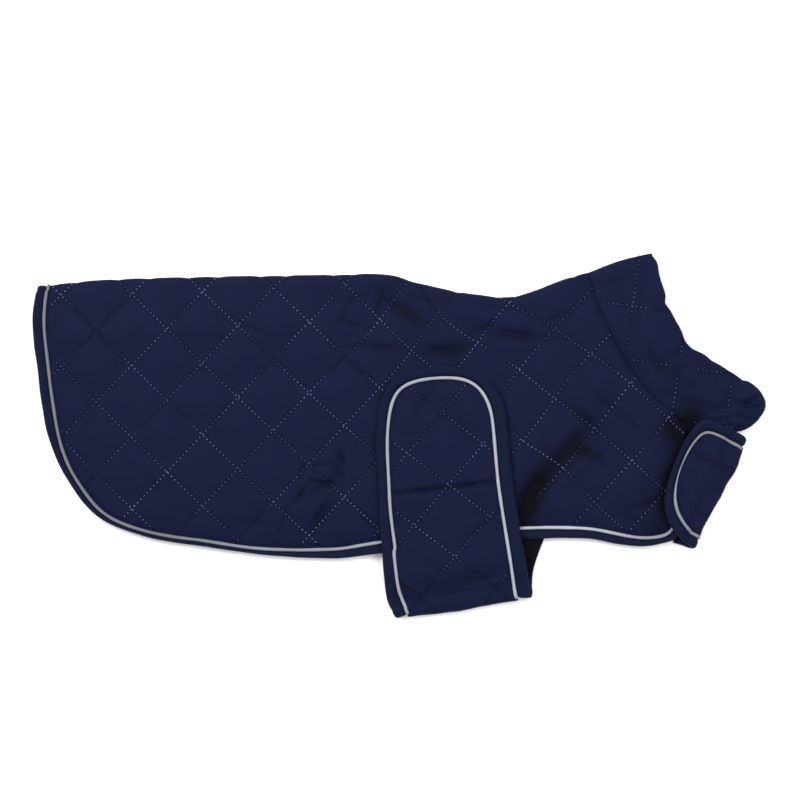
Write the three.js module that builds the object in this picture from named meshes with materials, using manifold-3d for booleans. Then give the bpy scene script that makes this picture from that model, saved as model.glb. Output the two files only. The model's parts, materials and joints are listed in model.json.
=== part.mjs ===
// Quilted dog winter coat, folded in half along the back and laid flat on its side.
// Millimetres. +X runs from tail to neck, +Y from belly to back, +Z up from the surface it lies on.

import * as THREE from "three";
import { mergeVertices } from "three/addons/utils/BufferGeometryUtils.js";
import Module from "manifold-3d";

const wasm = await Module();
wasm.setup();

// Cloth thicknesses
const underLayer = 3.8;
const layerGap = 0.5;
const seamWall = 2.6;
const puff = 1.9;
const strapWall = 2.3;
const strapPuff = 1.6;
const pieceGap = 0.3;

// Edge trims: a folded binding outside, a reflective piping between it and the panel
const bindingWidth = 7.6;
const bindingThickness = 3.8;
const pipingWidth = 3.5;
const pipingCrest = 4.4;

// Air held between the folded sides, and how far from an edge it fades out
const airHeight = 3.2;
const airFade = 42;
const innerShare = 0.75;

// Folds: the cloth stays whole over this much of the folded edge
const coverGap = 0.7;
const foldDepth = 8;
const foldRadius = 4.6;
const foldMiddle = 4.2;
const strapFoldInner = 6;
const strapRise = 8;
const roundEndStart = 0.4;
const roundEndShare = 0.2;
const strapQuiltStart = 24;

// Where quilting meets a seam it is flatter over this reach
const seamRise = 3;
const seamReach = 17;

// Steps of the triangle grid along one diamond side
const panelCells = 5;
const innerCells = 3;
const strapCells = 5;
const collarCells = 6;
const strapInnerCells = 4;
const foldSteps = 8;
const longStep = 13;
const shortStep = 6.5;

const farAway = 400;
const deepDown = -30;
const highUp = 40;
const clearanceHeight = 9;
const smallCut = 0.15;
const flapCut = 1.3;
const cutRun = 14;
const lowCut = 4.05;

// Turns lines of numbers into rows with named columns
function rows(columns, lines) {
  return lines.map((line) => Object.fromEntries(columns.map((name, index) => [name, line[index]])));
}

// Plan outline, each stretch from its first to its last row
const spineRows = rows(["x", "y"], [
  [-272, 112.5], [-246.5, 115.5], [-210.5, 118], [-156.5, 119.5], [-66.5, 121], [-6.5, 121],
  [23.5, 113], [53.5, 107], [82, 105], [98.5, 108], [121, 116], [143.5, 122],
]);
const hemRows = rows(["x", "y"], [
  [-272, 112.5], [-274.4, 97.5], [-275, 83], [-272, 54], [-268, 22.5], [-260.5, -9], [-247, -36],
  [-225.5, -61], [-192.5, -75], [-147.5, -83], [-93.5, -90], [-48.5, -92], [-11.5, -88],
  [23.5, -84], [68.5, -79], [110, -77], [143.5, -77.5], [164.5, -81], [182.5, -83],
  [197.5, -81], [208, -76], [214.5, -66], [219.5, -44], [224, -19.5], [228.5, 3],
]);
const neckSeamRows = rows(["x", "y"], [
  [143.5, 122], [148, 106], [154, 91], [161.5, 74], [172, 55.5], [185, 37.5], [198.5, 24],
  [214, 12], [228.5, 3],
]);
const collarBackRows = rows(["x", "y"], [[143.5, 122], [158.5, 128], [176.5, 134], [187.5, 136.5]]);
const collarOpeningRows = rows(["x", "y"], [
  [187.5, 136.5], [192.5, 135], [196, 126], [199, 111], [200.5, 101], [205, 91], [212.5, 76.5],
  [218, 67], [225, 61], [239, 53.5], [257.5, 41],
]);
const collarThroatRows = rows(["x", "y"], [
  [257.5, 41], [268, 36], [275, 25.5], [273.5, 17], [266, 9], [256, 3.5], [242.5, 2], [228.5, 3],
]);

// Soft troughs and ridges of the near side: middle, direction, length, width and height
const creases = rows(["x", "y", "turn", "length", "width", "rise"], [
  [121, -18, 52, 92, 12, -2],
  [87, 76, -8, 46, 8, -1.8],
  [144, -14, -25, 28, 10, -1.4],
  [36, 64, 4, 40, 12, -2],
  [-12, 66, -5, 34, 6, -1.3],
  [-60, -40, 30, 34, 6, -1.2],
  [-58, -62, 55, 38, 6, -1.1],
  [4, 94, -38, 46, 12, -1.8],
  [60, 92, -12, 60, 14, 1.4],
  [176, -30, 62, 60, 16, 1.2],
  [-150, 20, 8, 120, 30, 0.8],
  [205, -28, 80, 46, 9, -1.6],
]);

// Gathers where the band of the collar turns under the throat
const gathers = rows(["x", "y", "turn", "length", "width", "rise"], [
  [262, 30, 20, 30, 5, 1.5],
  [256, 25, -12, 34, 4, -1.5],
  [250, 17, 12, 36, 5, 1.3],
  [258, 13, -30, 26, 4, -1.2],
  [236, 40, -52, 34, 6, -1.2],
  [184, 104, 84, 40, 7, -1.3],
]);

// Stitch grids: one crossing, then the steps to the next crossing along each stitch line
const bodyStitch = { x: -253.5, y: 132.75, ux: 26.6, uy: 26.85, vx: 26.6, vy: -26.85, shift: 0.5 };
const bodyStitchTilt = 0.01415;
const bodyStitchBend = 0.000192;
const bodyStitchStart = -226.9;
const collarStitch = { x: 175.5, y: 97.5, ux: 40.6, uy: -5.7, vx: 5.6, vy: 39.6, shift: 0 };
const bellyStitch = { x: 37.5, y: -36.4, ux: 30.8, uy: -23.6, vx: 25.9, vy: 30.4, shift: 0 };
const chestStitch = { x: 222, y: -14, ux: 36, uy: -14, vx: 14, vy: 36, shift: 0 };

// Straps, each in a frame of its own: across the strap, and along it from the folded edge
const bellyStrap = {
  name: "belly_strap",
  x: 44.6,
  y: -129.15,
  turn: 8.53,
  stitch: bellyStitch,
  foldReach: 38,
  rightTrim: 12.4,
  leftTrim: 8.3,
  upper: rows(["across", "along"], [
    [55.4, 0], [55.6, 14], [55.2, 55], [56.2, 88], [58, 120], [58.6, 139], [55.8, 152], [48.5, 166],
    [35.5, 176.5], [14, 181.3], [-9.2, 181.1], [-24, 175.8], [-32.9, 165], [-39.5, 141], [-44.8, 95.5],
    [-49.2, 51], [-52, 19], [-51, 0],
  ]),
  lowerRight: rows(["across", "along"], [[55.4, 0], [57.6, 8], [60, 17], [64.6, 28], [72.5, 42], [80, 54]]),
  lowerLeft: rows(["across", "along"], [[-51, 0], [-50, 12], [-48, 28], [-45, 42], [-42, 56]]),
  creases: rows(["x", "y", "turn", "length", "width", "rise"], [
    [36, -39, 7, 110, 5, -1.3],
    [52, -108, 12, 50, 9, -0.9],
    [20, 28, 60, 40, 9, -0.8],
  ]),
};
const chestStrap = {
  name: "chest_strap",
  x: 241.5,
  y: -40.5,
  turn: 65.26,
  stitch: chestStitch,
  foldReach: 16,
  rightTrim: 8,
  leftTrim: 8,
  upper: rows(["across", "along"], [
    [42.4, 0], [44.6, 6], [45, 21], [44, 31], [39.5, 36.4], [29.9, 39], [16.2, 40.4], [4.2, 40.9],
    [-10, 39.4], [-22, 35], [-34, 25.4], [-41.3, 15], [-44, 6], [-42.2, 0],
  ]),
  lowerRight: rows(["across", "along"], [[42.4, 0], [42, 8], [40, 18], [37, 34]]),
  lowerLeft: rows(["across", "along"], [[-42.2, 0], [-45.5, 5], [-48, 14], [-49, 30]]),
  creases: rows(["x", "y", "turn", "length", "width", "rise"], [
    [228, -16, -35, 24, 6, -0.7],
  ]),
};

// Points, evenly spaced along a smooth line through the rows
function smoothPath(table, spacing) {
  const curve = new THREE.CatmullRomCurve3(
    table.map(({ x, y }) => new THREE.Vector3(x, y, 0)), false, "centripetal",
  );
  const count = Math.max(2, Math.round(curve.getLength() / spacing));
  return curve.getSpacedPoints(count).map((point) => new THREE.Vector2(point.x, point.y));
}

function leftNormals(path) {
  return path.map((point, index) => {
    const before = path[Math.max(index - 1, 0)];
    const after = path[Math.min(index + 1, path.length - 1)];
    const along = after.clone().sub(before).normalize();
    return new THREE.Vector2(-along.y, along.x);
  });
}

function offsetPath(path, distance) {
  const normals = leftNormals(path);
  return path.map((point, index) => point.clone().addScaledVector(normals[index], distance));
}

// The same line with a straight run added at both ends
function extendedPath(path, run) {
  const first = path[0].clone().sub(path[1]).setLength(run).add(path[0]);
  const beforeLast = path[path.length - 2];
  const last = path[path.length - 1].clone().sub(beforeLast).setLength(run).add(path[path.length - 1]);
  return [first, ...path, last];
}

function distanceToPath(x, y, path) {
  let nearest = Infinity;
  for (let index = 1; index < path.length; index += 1) {
    const start = path[index - 1];
    const end = path[index];
    const dx = end.x - start.x;
    const dy = end.y - start.y;
    const along = ((x - start.x) * dx + (y - start.y) * dy) / (dx * dx + dy * dy);
    const held = Math.min(1, Math.max(0, along));
    nearest = Math.min(nearest, Math.hypot(x - start.x - held * dx, y - start.y - held * dy));
  }
  return nearest;
}

const spine = smoothPath(spineRows, longStep);
const hem = smoothPath(hemRows, longStep);
const neckSeam = smoothPath(neckSeamRows, shortStep);
const collarBack = smoothPath(collarBackRows, shortStep);
const collarOpening = smoothPath(collarOpeningRows, shortStep);
const collarThroat = smoothPath(collarThroatRows, shortStep);
const foldedEdge = [...spine, ...collarBack.slice(1)];
const flatEdge = [...collarThroat, ...hem.slice().reverse().slice(1)];
const trimDepth = bindingWidth + pipingWidth + 2 * pieceGap;

// Solids from plain lists of corners and triangles
function solidFrom(corners, triangles) {
  const volume = triangles.reduce((sum, [a, b, c]) => {
    const cross = corners[b].clone().cross(corners[c]);
    return sum + corners[a].dot(cross);
  }, 0);
  const facing = volume < 0 ? triangles.map(([a, b, c]) => [a, c, b]) : triangles;
  return new wasm.Manifold(new wasm.Mesh({
    numProp: 3,
    vertProperties: new Float32Array(corners.flatMap((corner) => corner.toArray())),
    triVerts: new Uint32Array(facing.flat()),
  }));
}

// A closed skin through rings of equal count, each closed at its ends by a flat cap
function skin(rings, capOf = (ring) => ring.map((corner) => new THREE.Vector2(corner.x, corner.y))) {
  const count = rings[0].length;
  const last = (rings.length - 1) * count;
  const triangles = [];
  for (let level = 0; level < last; level += count) {
    for (let index = 0; index < count; index += 1) {
      const next = (index + 1) % count;
      triangles.push([level + index, level + next, level + count + next]);
      triangles.push([level + index, level + count + next, level + count + index]);
    }
  }
  const cap = capOf(rings[0]);
  const turned = THREE.ShapeUtils.isClockWise(cap);
  for (const face of THREE.ShapeUtils.triangulateShape(cap, [])) {
    const [a, b, c] = turned ? face.slice().reverse() : face;
    triangles.push([c, b, a]);
    triangles.push([last + a, last + b, last + c]);
  }
  return { corners: rings.flat(), triangles };
}

// Upright solid over a plan outline that runs anticlockwise, through levels of height and inset;
// soft says, point by point, how much of the inset is taken
function upright(outline, levels, soft = outline.map(() => 0)) {
  const normals = leftNormals([outline.at(-1), ...outline, outline[0]]).slice(1, -1);
  const rings = levels.map(({ z, inset }) => outline.map((point, index) => {
    const moved = point.clone().addScaledVector(normals[index], inset * soft[index]);
    return new THREE.Vector3(moved.x, moved.y, z);
  }));
  const { corners, triangles } = skin(rings);
  return solidFrom(corners, triangles);
}

function slab(outline, low, high) {
  return upright(outline, [{ z: low, inset: 0 }, { z: high, inset: 0 }]);
}

// Levels of a rounded fold, as a half circle seen from its end
function foldLevels(middle, radius) {
  const levels = [0, 0.1, 0.3, 0.6, 1, 1.4, 1.7, 1.9].map((share) => {
    const rise = share - 1;
    return { z: middle + radius * rise, inset: radius * (1 - Math.sqrt(1 - rise * rise)) };
  });
  const flat = levels.filter(({ z }) => z > 0);
  const lowest = { z: 0, inset: radius * (1 - Math.sqrt(1 - (middle / radius) ** 2)) };
  return [lowest, ...flat, { z: highUp, inset: levels.at(-1).inset }];
}

function fade(distance, reach) {
  const share = Math.min(1, Math.max(0, distance / reach));
  return share * share * (3 - 2 * share);
}

// Sum of the soft troughs and ridges at a place
function creaseHeight(x, y, table) {
  return table.reduce((sum, { x: midX, y: midY, turn, length, width, rise }) => {
    const angle = THREE.MathUtils.degToRad(turn);
    const along = (x - midX) * Math.cos(angle) + (y - midY) * Math.sin(angle);
    const across = (y - midY) * Math.cos(angle) - (x - midX) * Math.sin(angle);
    return sum + rise * Math.exp(-((2 * along / length) ** 2) - ((2 * across / width) ** 2));
  }, 0);
}

// How far air lifts the near side: nothing at the edges, most between them
function airLift(x, y) {
  const edgeFade = fade(distanceToPath(x, y, flatEdge) - bindingWidth, airFade);
  return airHeight * edgeFade * fade(distanceToPath(x, y, foldedEdge), airFade);
}

// Plain inner face of the near side
function nearInner(x, y) {
  return underLayer + layerGap + innerShare * airLift(x, y);
}

// Near side's face at a stitch line, with its creases
function nearFace(x, y) {
  const lift = airLift(x, y);
  const folds = creaseHeight(x, y, creases) * fade(lift, 1.5);
  return underLayer + layerGap + seamWall + Math.max(0, lift + folds);
}

// A smooth height that clears the near side's cloth, for what lies on it
function nearCover(x, y) {
  const lift = airLift(x, y);
  const ridge = Math.max(0, creaseHeight(x, y, creases)) * fade(lift, 1.5)
    + Math.max(0, creaseHeight(x, y, gathers));
  return underLayer + layerGap + seamWall + puff + lift + ridge + coverGap;
}

// Diamond quilting: full in the middle of a diamond, thin at its four stitch lines
function pillow(a, b) {
  return (Math.abs(Math.sin(Math.PI * a) * Math.sin(Math.PI * b))) ** 0.55;
}

function bodyRise(x) {
  const run = x - bodyStitchStart;
  return bodyStitchTilt * run + bodyStitchBend * run * run;
}

function noRise() {
  return 0;
}

// Solid from far below up to a height that is given on a grid laid along the stitch lines
function under(region, stitch, cells, heightAt, riseAt = noRise) {
  const { x: x0, y: y0, ux, uy, vx, vy, shift } = stitch;
  const area = ux * vy - uy * vx;
  const grid = region.map(({ x, y }) => {
    const dx = x - x0;
    const dy = y - y0 - riseAt(x);
    return { a: (dx * vy - dy * vx) / area + shift, b: (dy * ux - dx * uy) / area + shift };
  });
  const firstA = Math.floor(Math.min(...grid.map(({ a }) => a))) - 1;
  const firstB = Math.floor(Math.min(...grid.map(({ b }) => b))) - 1;
  const countA = (Math.ceil(Math.max(...grid.map(({ a }) => a))) + 1 - firstA) * cells;
  const countB = (Math.ceil(Math.max(...grid.map(({ b }) => b))) + 1 - firstB) * cells;
  const tops = [];
  for (let j = 0; j <= countB; j += 1) {
    for (let i = 0; i <= countA; i += 1) {
      const a = firstA + i / cells;
      const b = firstB + j / cells;
      const x = x0 + (a - shift) * ux + (b - shift) * vx;
      const y = y0 + (a - shift) * uy + (b - shift) * vy + riseAt(x);
      tops.push(new THREE.Vector3(x, y, heightAt(x, y, a, b)));
    }
  }
  const bottoms = tops.map(({ x, y }) => new THREE.Vector3(x, y, deepDown));
  const at = (i, j) => j * (countA + 1) + i;
  const low = tops.length;
  const triangles = [];
  for (let j = 0; j < countB; j += 1) {
    for (let i = 0; i < countA; i += 1) {
      const [p, q, r, s] = [at(i, j), at(i + 1, j), at(i + 1, j + 1), at(i, j + 1)];
      triangles.push([p, q, r], [p, r, s], [low + p, low + r, low + q], [low + p, low + s, low + r]);
    }
  }
  const rim = [];
  for (let i = 0; i < countA; i += 1) rim.push(at(i, 0));
  for (let j = 0; j < countB; j += 1) rim.push(at(countA, j));
  for (let i = countA; i > 0; i -= 1) rim.push(at(i, countB));
  for (let j = countB; j > 0; j -= 1) rim.push(at(0, j));
  rim.forEach((p, index) => {
    const q = rim[(index + 1) % rim.length];
    triangles.push([p, low + p, low + q], [p, low + q, q]);
  });
  return solidFrom([...tops, ...bottoms], triangles);
}

// Strip over a plan line: how far it reaches to its right and to its left
function strip(path, right, left, low = deepDown, high = highUp) {
  return slab([...offsetPath(path, -right), ...offsetPath(path, left).reverse()], low, high);
}

// Folded cloth over a plan outline: two layers with air between, whole along the folded edges
function foldedCloth({ outline, soft, stitch, cells, folds, topAt, riseAt }) {
  const blank = upright(outline, foldLevels(foldMiddle, foldRadius), soft);
  const cloth = blank.intersect(under(outline, stitch, cells, topAt, riseAt));
  const everywhere = [[-1, -1], [1, -1], [1, 1], [-1, 1]].map(([x, y]) => (
    new THREE.Vector2(x * farAway, y * farAway)));
  const inside = under(outline, stitch, innerCells, nearInner, riseAt);
  const air = folds.reduce((solid, path) => solid.subtract(strip(path, foldDepth, foldDepth)),
    slab(everywhere, underLayer, highUp).intersect(inside));
  return cloth.subtract(air);
}

// Quilted height above the near face, flatter beside the seams
function quiltedTop(edges) {
  return (x, y, a, b) => {
    const edge = Math.min(...edges.map((path) => distanceToPath(x, y, path)));
    return nearFace(x, y) + puff * pillow(a, b) * fade(edge + seamRise, seamReach);
  };
}

function backPanel() {
  const seam = offsetPath(neckSeam, -pieceGap / 2);
  const outline = [...hem.slice(0, -1), ...seam.slice().reverse(), ...spine.slice(1, -1).reverse()];
  const spineFirst = hem.length + seam.length - 2;
  const soft = outline.map((point, index) => (index === 0 || index >= spineFirst ? 1 : 0));
  const cloth = foldedCloth({
    outline,
    soft,
    stitch: bodyStitch,
    cells: panelCells,
    folds: [extendedPath(foldedEdge, trimDepth)],
    topAt: quiltedTop([offsetPath(hem, trimDepth), neckSeam]),
    riseAt: bodyRise,
  });
  const web = strip(extendedPath(hem, cutRun), bindingWidth, trimDepth, underLayer, underLayer + layerGap);
  return cloth.subtract(sweep(hemFrames(), clearanceSection)).subtract(web);
}

function collar() {
  const seam = offsetPath(neckSeam, pieceGap / 2);
  const outline = [
    ...seam, ...collarThroat.slice(0, -1).reverse(), ...collarOpening.slice(0, -1).reverse(),
    ...collarBack.slice(1, -1).reverse(),
  ];
  const throatFirst = seam.length;
  const throatLast = throatFirst + collarThroat.length - 2;
  const backFirst = outline.length - collarBack.length + 2;
  const soft = outline.map((point, index) => (
    index === 0 || (index >= throatFirst && index <= throatLast) || index >= backFirst ? 1 : 0
  ));
  const quilted = quiltedTop([neckSeam]);
  return foldedCloth({
    outline,
    soft,
    stitch: collarStitch,
    cells: collarCells,
    folds: [extendedPath(foldedEdge, trimDepth), collarThroat.slice(1)],
    topAt: (x, y, a, b) => quilted(x, y, a, b) + creaseHeight(x, y, gathers),
    riseAt: noRise,
  });
}

// A length of binding or piping: its section carried along frames of point, inward and outward
function sweep(frames, sectionOf) {
  const rings = frames.map((place) => sectionOf(place).map(({ across, up }) => (
    place.point.clone().addScaledVector(place.inward, across).addScaledVector(place.outward, up))));
  const section = sectionOf(frames[0]).map(({ across, up }) => new THREE.Vector2(across, up));
  const { corners, triangles } = skin(rings, () => section);
  return solidFrom(corners, triangles);
}

function bindingSection({ width }) {
  const height = bindingThickness;
  return rows(["across", "up"], [
    [0.6, 0], [0, 0.8], [0, height * 0.64], [1.4, height], [width - 1.6, height],
    [width, height * 0.6], [width, 0],
  ]);
}

function pipingSection({ width, crest }) {
  const start = width + pieceGap;
  const end = start + pipingWidth;
  return rows(["across", "up"], [
    [start, 0], [start, crest * 0.62], [start + 0.9, crest * 0.95], [end - 0.9, crest * 0.95],
    [end, crest * 0.62], [end, 0],
  ]);
}

// The room that a binding and its piping take out of the cloth beside them
function clearanceSection({ width, below }) {
  const inner = width + pipingWidth + 2 * pieceGap + smallCut;
  return rows(["across", "up"], [
    [-bindingWidth, -below], [-bindingWidth, clearanceHeight], [inner, clearanceHeight], [inner, -below],
  ]);
}

// Frames along one layer's edge: face is 1 where its outer side looks up, and -1 where it looks down
function edgeFrames(path, side, face, heightAt, widthAt, below = smallCut) {
  const normals = leftNormals(path);
  return path.map((point, index) => ({
    point: new THREE.Vector3(point.x, point.y, heightAt(point.x, point.y)),
    inward: new THREE.Vector3(normals[index].x * side, normals[index].y * side, 0),
    outward: new THREE.Vector3(0, 0, face),
    width: widthAt(index / (path.length - 1)),
    crest: face > 0 ? pipingCrest : bindingThickness,
    below,
  }));
}

// Frames round a fold from its upper layer down to its lower one; out points away from the cloth
function foldFrames({ point, out, inward, lowZ, highZ, width, steps }) {
  const radius = (highZ - lowZ) / 2;
  return Array.from({ length: steps - 1 }, (unused, index) => {
    const angle = Math.PI * (0.5 - (index + 1) / steps);
    const outward = new THREE.Vector3(out.x * Math.cos(angle), out.y * Math.cos(angle), Math.sin(angle));
    const middle = new THREE.Vector3(point.x, point.y, (lowZ + highZ) / 2);
    const share = (1 + Math.sin(angle)) / 2;
    return {
      point: middle.addScaledVector(outward, radius),
      inward: new THREE.Vector3(inward.x, inward.y, 0),
      outward,
      width,
      crest: bindingThickness + (pipingCrest - bindingThickness) * share,
      below: smallCut,
    };
  });
}

// The hem, from the chest on the near side round the tail's fold to the chest on the far side
function hemFrames() {
  const nearZ = underLayer + layerGap;
  const trimmed = [new THREE.Vector2(hem[0].x, hem[0].y - bindingThickness), ...hem.slice(1)];
  const near = edgeFrames(trimmed, 1, 1, () => nearZ, () => bindingWidth).reverse();
  const far = edgeFrames(trimmed, 1, -1, () => underLayer, () => bindingWidth);
  const fold = foldFrames({
    point: trimmed[0],
    out: new THREE.Vector2(0, 1),
    inward: near.at(-1).inward,
    lowZ: underLayer,
    highZ: nearZ,
    width: bindingWidth,
    steps: foldSteps,
  });
  return [...near, ...fold, ...far];
}

// The coat's own plan, which the lower layers of the straps stop at
function coatPlan(high) {
  const throat = offsetPath(collarThroat, pieceGap).slice(0, -1).reverse();
  return slab([...offsetPath(hem, -pieceGap), ...throat, new THREE.Vector2(0, farAway)], deepDown, high);
}

// A strap comes from the far side's edge, turns up over a fold and lies on the near side
function strapShape(strap) {
  const angle = THREE.MathUtils.degToRad(strap.turn);
  const across = new THREE.Vector2(Math.cos(angle), Math.sin(angle));
  const along = new THREE.Vector2(-across.y, across.x);
  const root = new THREE.Vector2(strap.x, strap.y);
  const place = (row) => root.clone().addScaledVector(across, row.across).addScaledVector(along, row.along);
  const heightAlong = (x, y) => along.dot(new THREE.Vector2(x, y).sub(root));
  const innerAt = (x, y) => {
    const over = fade(heightAlong(x, y) - strapRise, strap.foldReach - strapRise);
    return strapFoldInner * (1 - over) + nearCover(x, y) * over;
  };
  const upper = smoothPath(strap.upper.map(place), shortStep);
  const widthAt = (share) => (
    THREE.MathUtils.lerp(strap.rightTrim, strap.leftTrim, fade(share - roundEndStart, roundEndShare)));
  return {
    strap,
    across,
    along,
    place,
    heightAlong,
    innerAt,
    upper,
    widthAt,
    right: smoothPath(strap.lowerRight.map(place), shortStep),
    left: smoothPath(strap.lowerLeft.map(place), shortStep),
    foldCentre: (strapFoldInner + bindingThickness) / 2,
  };
}

// The strap's cloth: a root from the far side's edge, a rounded fold and a quilted flap
function strapPanel(shape) {
  const { strap, place, heightAlong, innerAt, upper, widthAt, right, left, foldCentre } = shape;
  const line = extendedPath(upper, cutRun);
  const normals = leftNormals(line);
  const seamLine = line.map((point, index) => {
    const width = widthAt((index - 1) / (upper.length - 1));
    return point.clone().addScaledVector(normals[index], width + pipingWidth + 2 * pieceGap);
  });
  const topAt = (x, y, a, b) => {
    const edge = fade(distanceToPath(x, y, seamLine) + seamRise, seamReach);
    const quilting = strapPuff * pillow(a, b) * edge * fade(heightAlong(x, y), strapQuiltStart);
    return innerAt(x, y) + strapWall + quilting + creaseHeight(x, y, strap.creases);
  };
  const across = (low, high) => [[-farAway, low], [farAway, low], [farAway, high], [-farAway, high]]
    .map(([wide, along]) => place({ across: wide, along }));
  const top = under(upper, strap.stitch, strapCells, topAt);
  const flap = slab(upper, underLayer, highUp).intersect(top)
    .subtract(under(upper, strap.stitch, strapInnerCells, innerAt));
  const root = slab([...left.slice().reverse(), ...right], 0, underLayer).subtract(coatPlan(highUp));
  const fold = slab(across(-1, foldCentre), 0, highUp).intersect(slab(upper, 0, highUp)).intersect(top);
  const rounded = upright(across(0, farAway), foldLevels(foldCentre, foldCentre), [1, 1, 0, 0]);
  const upperTrim = [...offsetPath(line, -cutRun), ...seamLine.slice().reverse()];
  return fold.add(flap).add(root)
    .subtract(sweep(strapFrames(shape), clearanceSection))
    .subtract(slab(upperTrim, underLayer, strapFoldInner))
    .intersect(rounded);
}

function strapFrames(shape) {
  const { strap, across, along, heightAlong, innerAt, upper, widthAt, right, left, foldCentre, place } = shape;
  const pastFold = ({ x, y }) => heightAlong(x, y) > foldCentre + 0.5;
  const low = () => underLayer;
  const flap = edgeFrames(upper, 1, 1, innerAt, widthAt, flapCut).filter(({ point }) => pastFold(point));
  const lowerRight = edgeFrames(right, 1, -1, low, () => strap.rightTrim)
    .filter(({ point }) => pastFold(point)).reverse();
  const lowerLeft = edgeFrames(left, -1, -1, low, () => strap.leftTrim)
    .filter(({ point }) => pastFold(point));
  const foldAt = (row, side, width) => foldFrames({
    point: place({ across: row.across, along: foldCentre }),
    out: along.clone().negate(),
    inward: across.clone().multiplyScalar(side),
    lowZ: underLayer,
    highZ: strapFoldInner,
    width,
    steps: foldSteps,
  });
  const rightFold = foldAt(strap.upper[0], -1, strap.rightTrim).reverse();
  const leftFold = foldAt(strap.upper.at(-1), 1, strap.leftTrim);
  return [...lowerRight, ...rightFold, ...flap, ...leftFold, ...lowerLeft];
}

function standard(colour, roughness) {
  return new THREE.MeshStandardMaterial({ color: colour, roughness, metalness: 0 });
}

const quiltedNavy = standard("#1f2444", 0.72);
const bindingNavy = standard("#1c2038", 0.66);
const reflective = standard("#b9bec8", 0.4);

function meshOf(name, solid, material) {
  const { vertProperties, triVerts, numProp } = solid.getMesh();
  const corners = Float32Array.from(vertProperties.filter((value, index) => index % numProp < 3));
  const geometry = new THREE.BufferGeometry();
  geometry.setAttribute("position", new THREE.BufferAttribute(corners, 3));
  geometry.setIndex(new THREE.BufferAttribute(Uint32Array.from(triVerts), 1));
  const mesh = new THREE.Mesh(mergeVertices(geometry, 1e-4), material);
  mesh.name = name;
  return mesh;
}

function strapMeshes(strap) {
  const shape = strapShape(strap);
  const frames = strapFrames(shape);
  const plan = coatPlan(lowCut);
  return [
    meshOf(strap.name, strapPanel(shape), quiltedNavy),
    meshOf(`${strap.name}_binding`, sweep(frames, bindingSection).subtract(plan), bindingNavy),
    meshOf(`${strap.name}_piping`, sweep(frames, pipingSection).subtract(plan), reflective),
  ];
}

const coat = new THREE.Group();
coat.add(meshOf("back_panel", backPanel(), quiltedNavy));
coat.add(meshOf("collar", collar(), quiltedNavy));
coat.add(meshOf("hem_binding", sweep(hemFrames(), bindingSection), bindingNavy));
coat.add(meshOf("hem_piping", sweep(hemFrames(), pipingSection), reflective));
for (const strap of [bellyStrap, chestStrap]) {
  coat.add(...strapMeshes(strap));
}

export default coat;
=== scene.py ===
"""A quilted dog winter coat, folded along its back and laid on its side.

The coat is cut and sewn from a back panel, a collar, a belly strap and a chest strap, with a
binding and a reflective piping round the hem and round each strap. Plan outlines are in
millimetres, as a cutter marks them; meshes are in metres.
"""

import json
import math

import bmesh
import bpy
import numpy as np
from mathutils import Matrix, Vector
from mathutils.bvhtree import BVHTree
from mathutils.geometry import delaunay_2d_cdt

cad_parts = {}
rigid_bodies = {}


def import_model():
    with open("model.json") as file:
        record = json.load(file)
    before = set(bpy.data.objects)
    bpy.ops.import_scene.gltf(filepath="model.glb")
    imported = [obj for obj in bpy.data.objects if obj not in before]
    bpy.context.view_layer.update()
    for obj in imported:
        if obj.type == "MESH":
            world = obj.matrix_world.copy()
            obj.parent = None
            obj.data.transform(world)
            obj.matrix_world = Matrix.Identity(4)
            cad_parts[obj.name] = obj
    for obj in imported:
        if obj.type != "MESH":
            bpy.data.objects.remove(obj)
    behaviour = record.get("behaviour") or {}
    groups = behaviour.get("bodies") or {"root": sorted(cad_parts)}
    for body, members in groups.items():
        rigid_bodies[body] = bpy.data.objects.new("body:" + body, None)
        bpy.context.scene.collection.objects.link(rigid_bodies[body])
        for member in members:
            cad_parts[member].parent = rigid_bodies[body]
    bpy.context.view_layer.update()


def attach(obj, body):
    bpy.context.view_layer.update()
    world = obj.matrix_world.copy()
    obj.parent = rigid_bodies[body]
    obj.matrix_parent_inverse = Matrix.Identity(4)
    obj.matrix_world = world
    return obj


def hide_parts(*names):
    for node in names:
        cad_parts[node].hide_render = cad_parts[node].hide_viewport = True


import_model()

bl_info = {
    "name": "Dog winter coat",
    "version": (1, 0, 0),
    "blender": (4, 5, 0),
    "location": "3D View > Sidebar > Dog coat",
    "description": "Sews a folded, quilted dog winter coat around its frame",
    "category": "Add Mesh",
}

MM = 0.001

# The coat's plan outline in millimetres, each stretch as columns x, y
SPINE = [
    (-272, 112.5), (-246.5, 115.5), (-210.5, 118), (-156.5, 119.5), (-66.5, 121), (-6.5, 121),
    (23.5, 113), (53.5, 107), (82, 105), (98.5, 108), (121, 116.5), (132.5, 120.5), (143.5, 123),
]
HEM = [
    (-272, 112.5), (-274.4, 97.5), (-275, 83), (-272, 54), (-268, 22.5), (-260.5, -9), (-247, -36),
    (-225.5, -61), (-192.5, -75), (-147.5, -83), (-93.5, -90), (-48.5, -92), (-11.5, -88),
    (23.5, -84), (68.5, -79), (110, -77), (143.5, -77.5), (164.5, -81), (182.5, -83),
    (197.5, -81), (206.5, -78.4), (213.5, -71.5), (218, -60), (221, -44), (224, -19.5), (228.5, 3),
]
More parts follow.
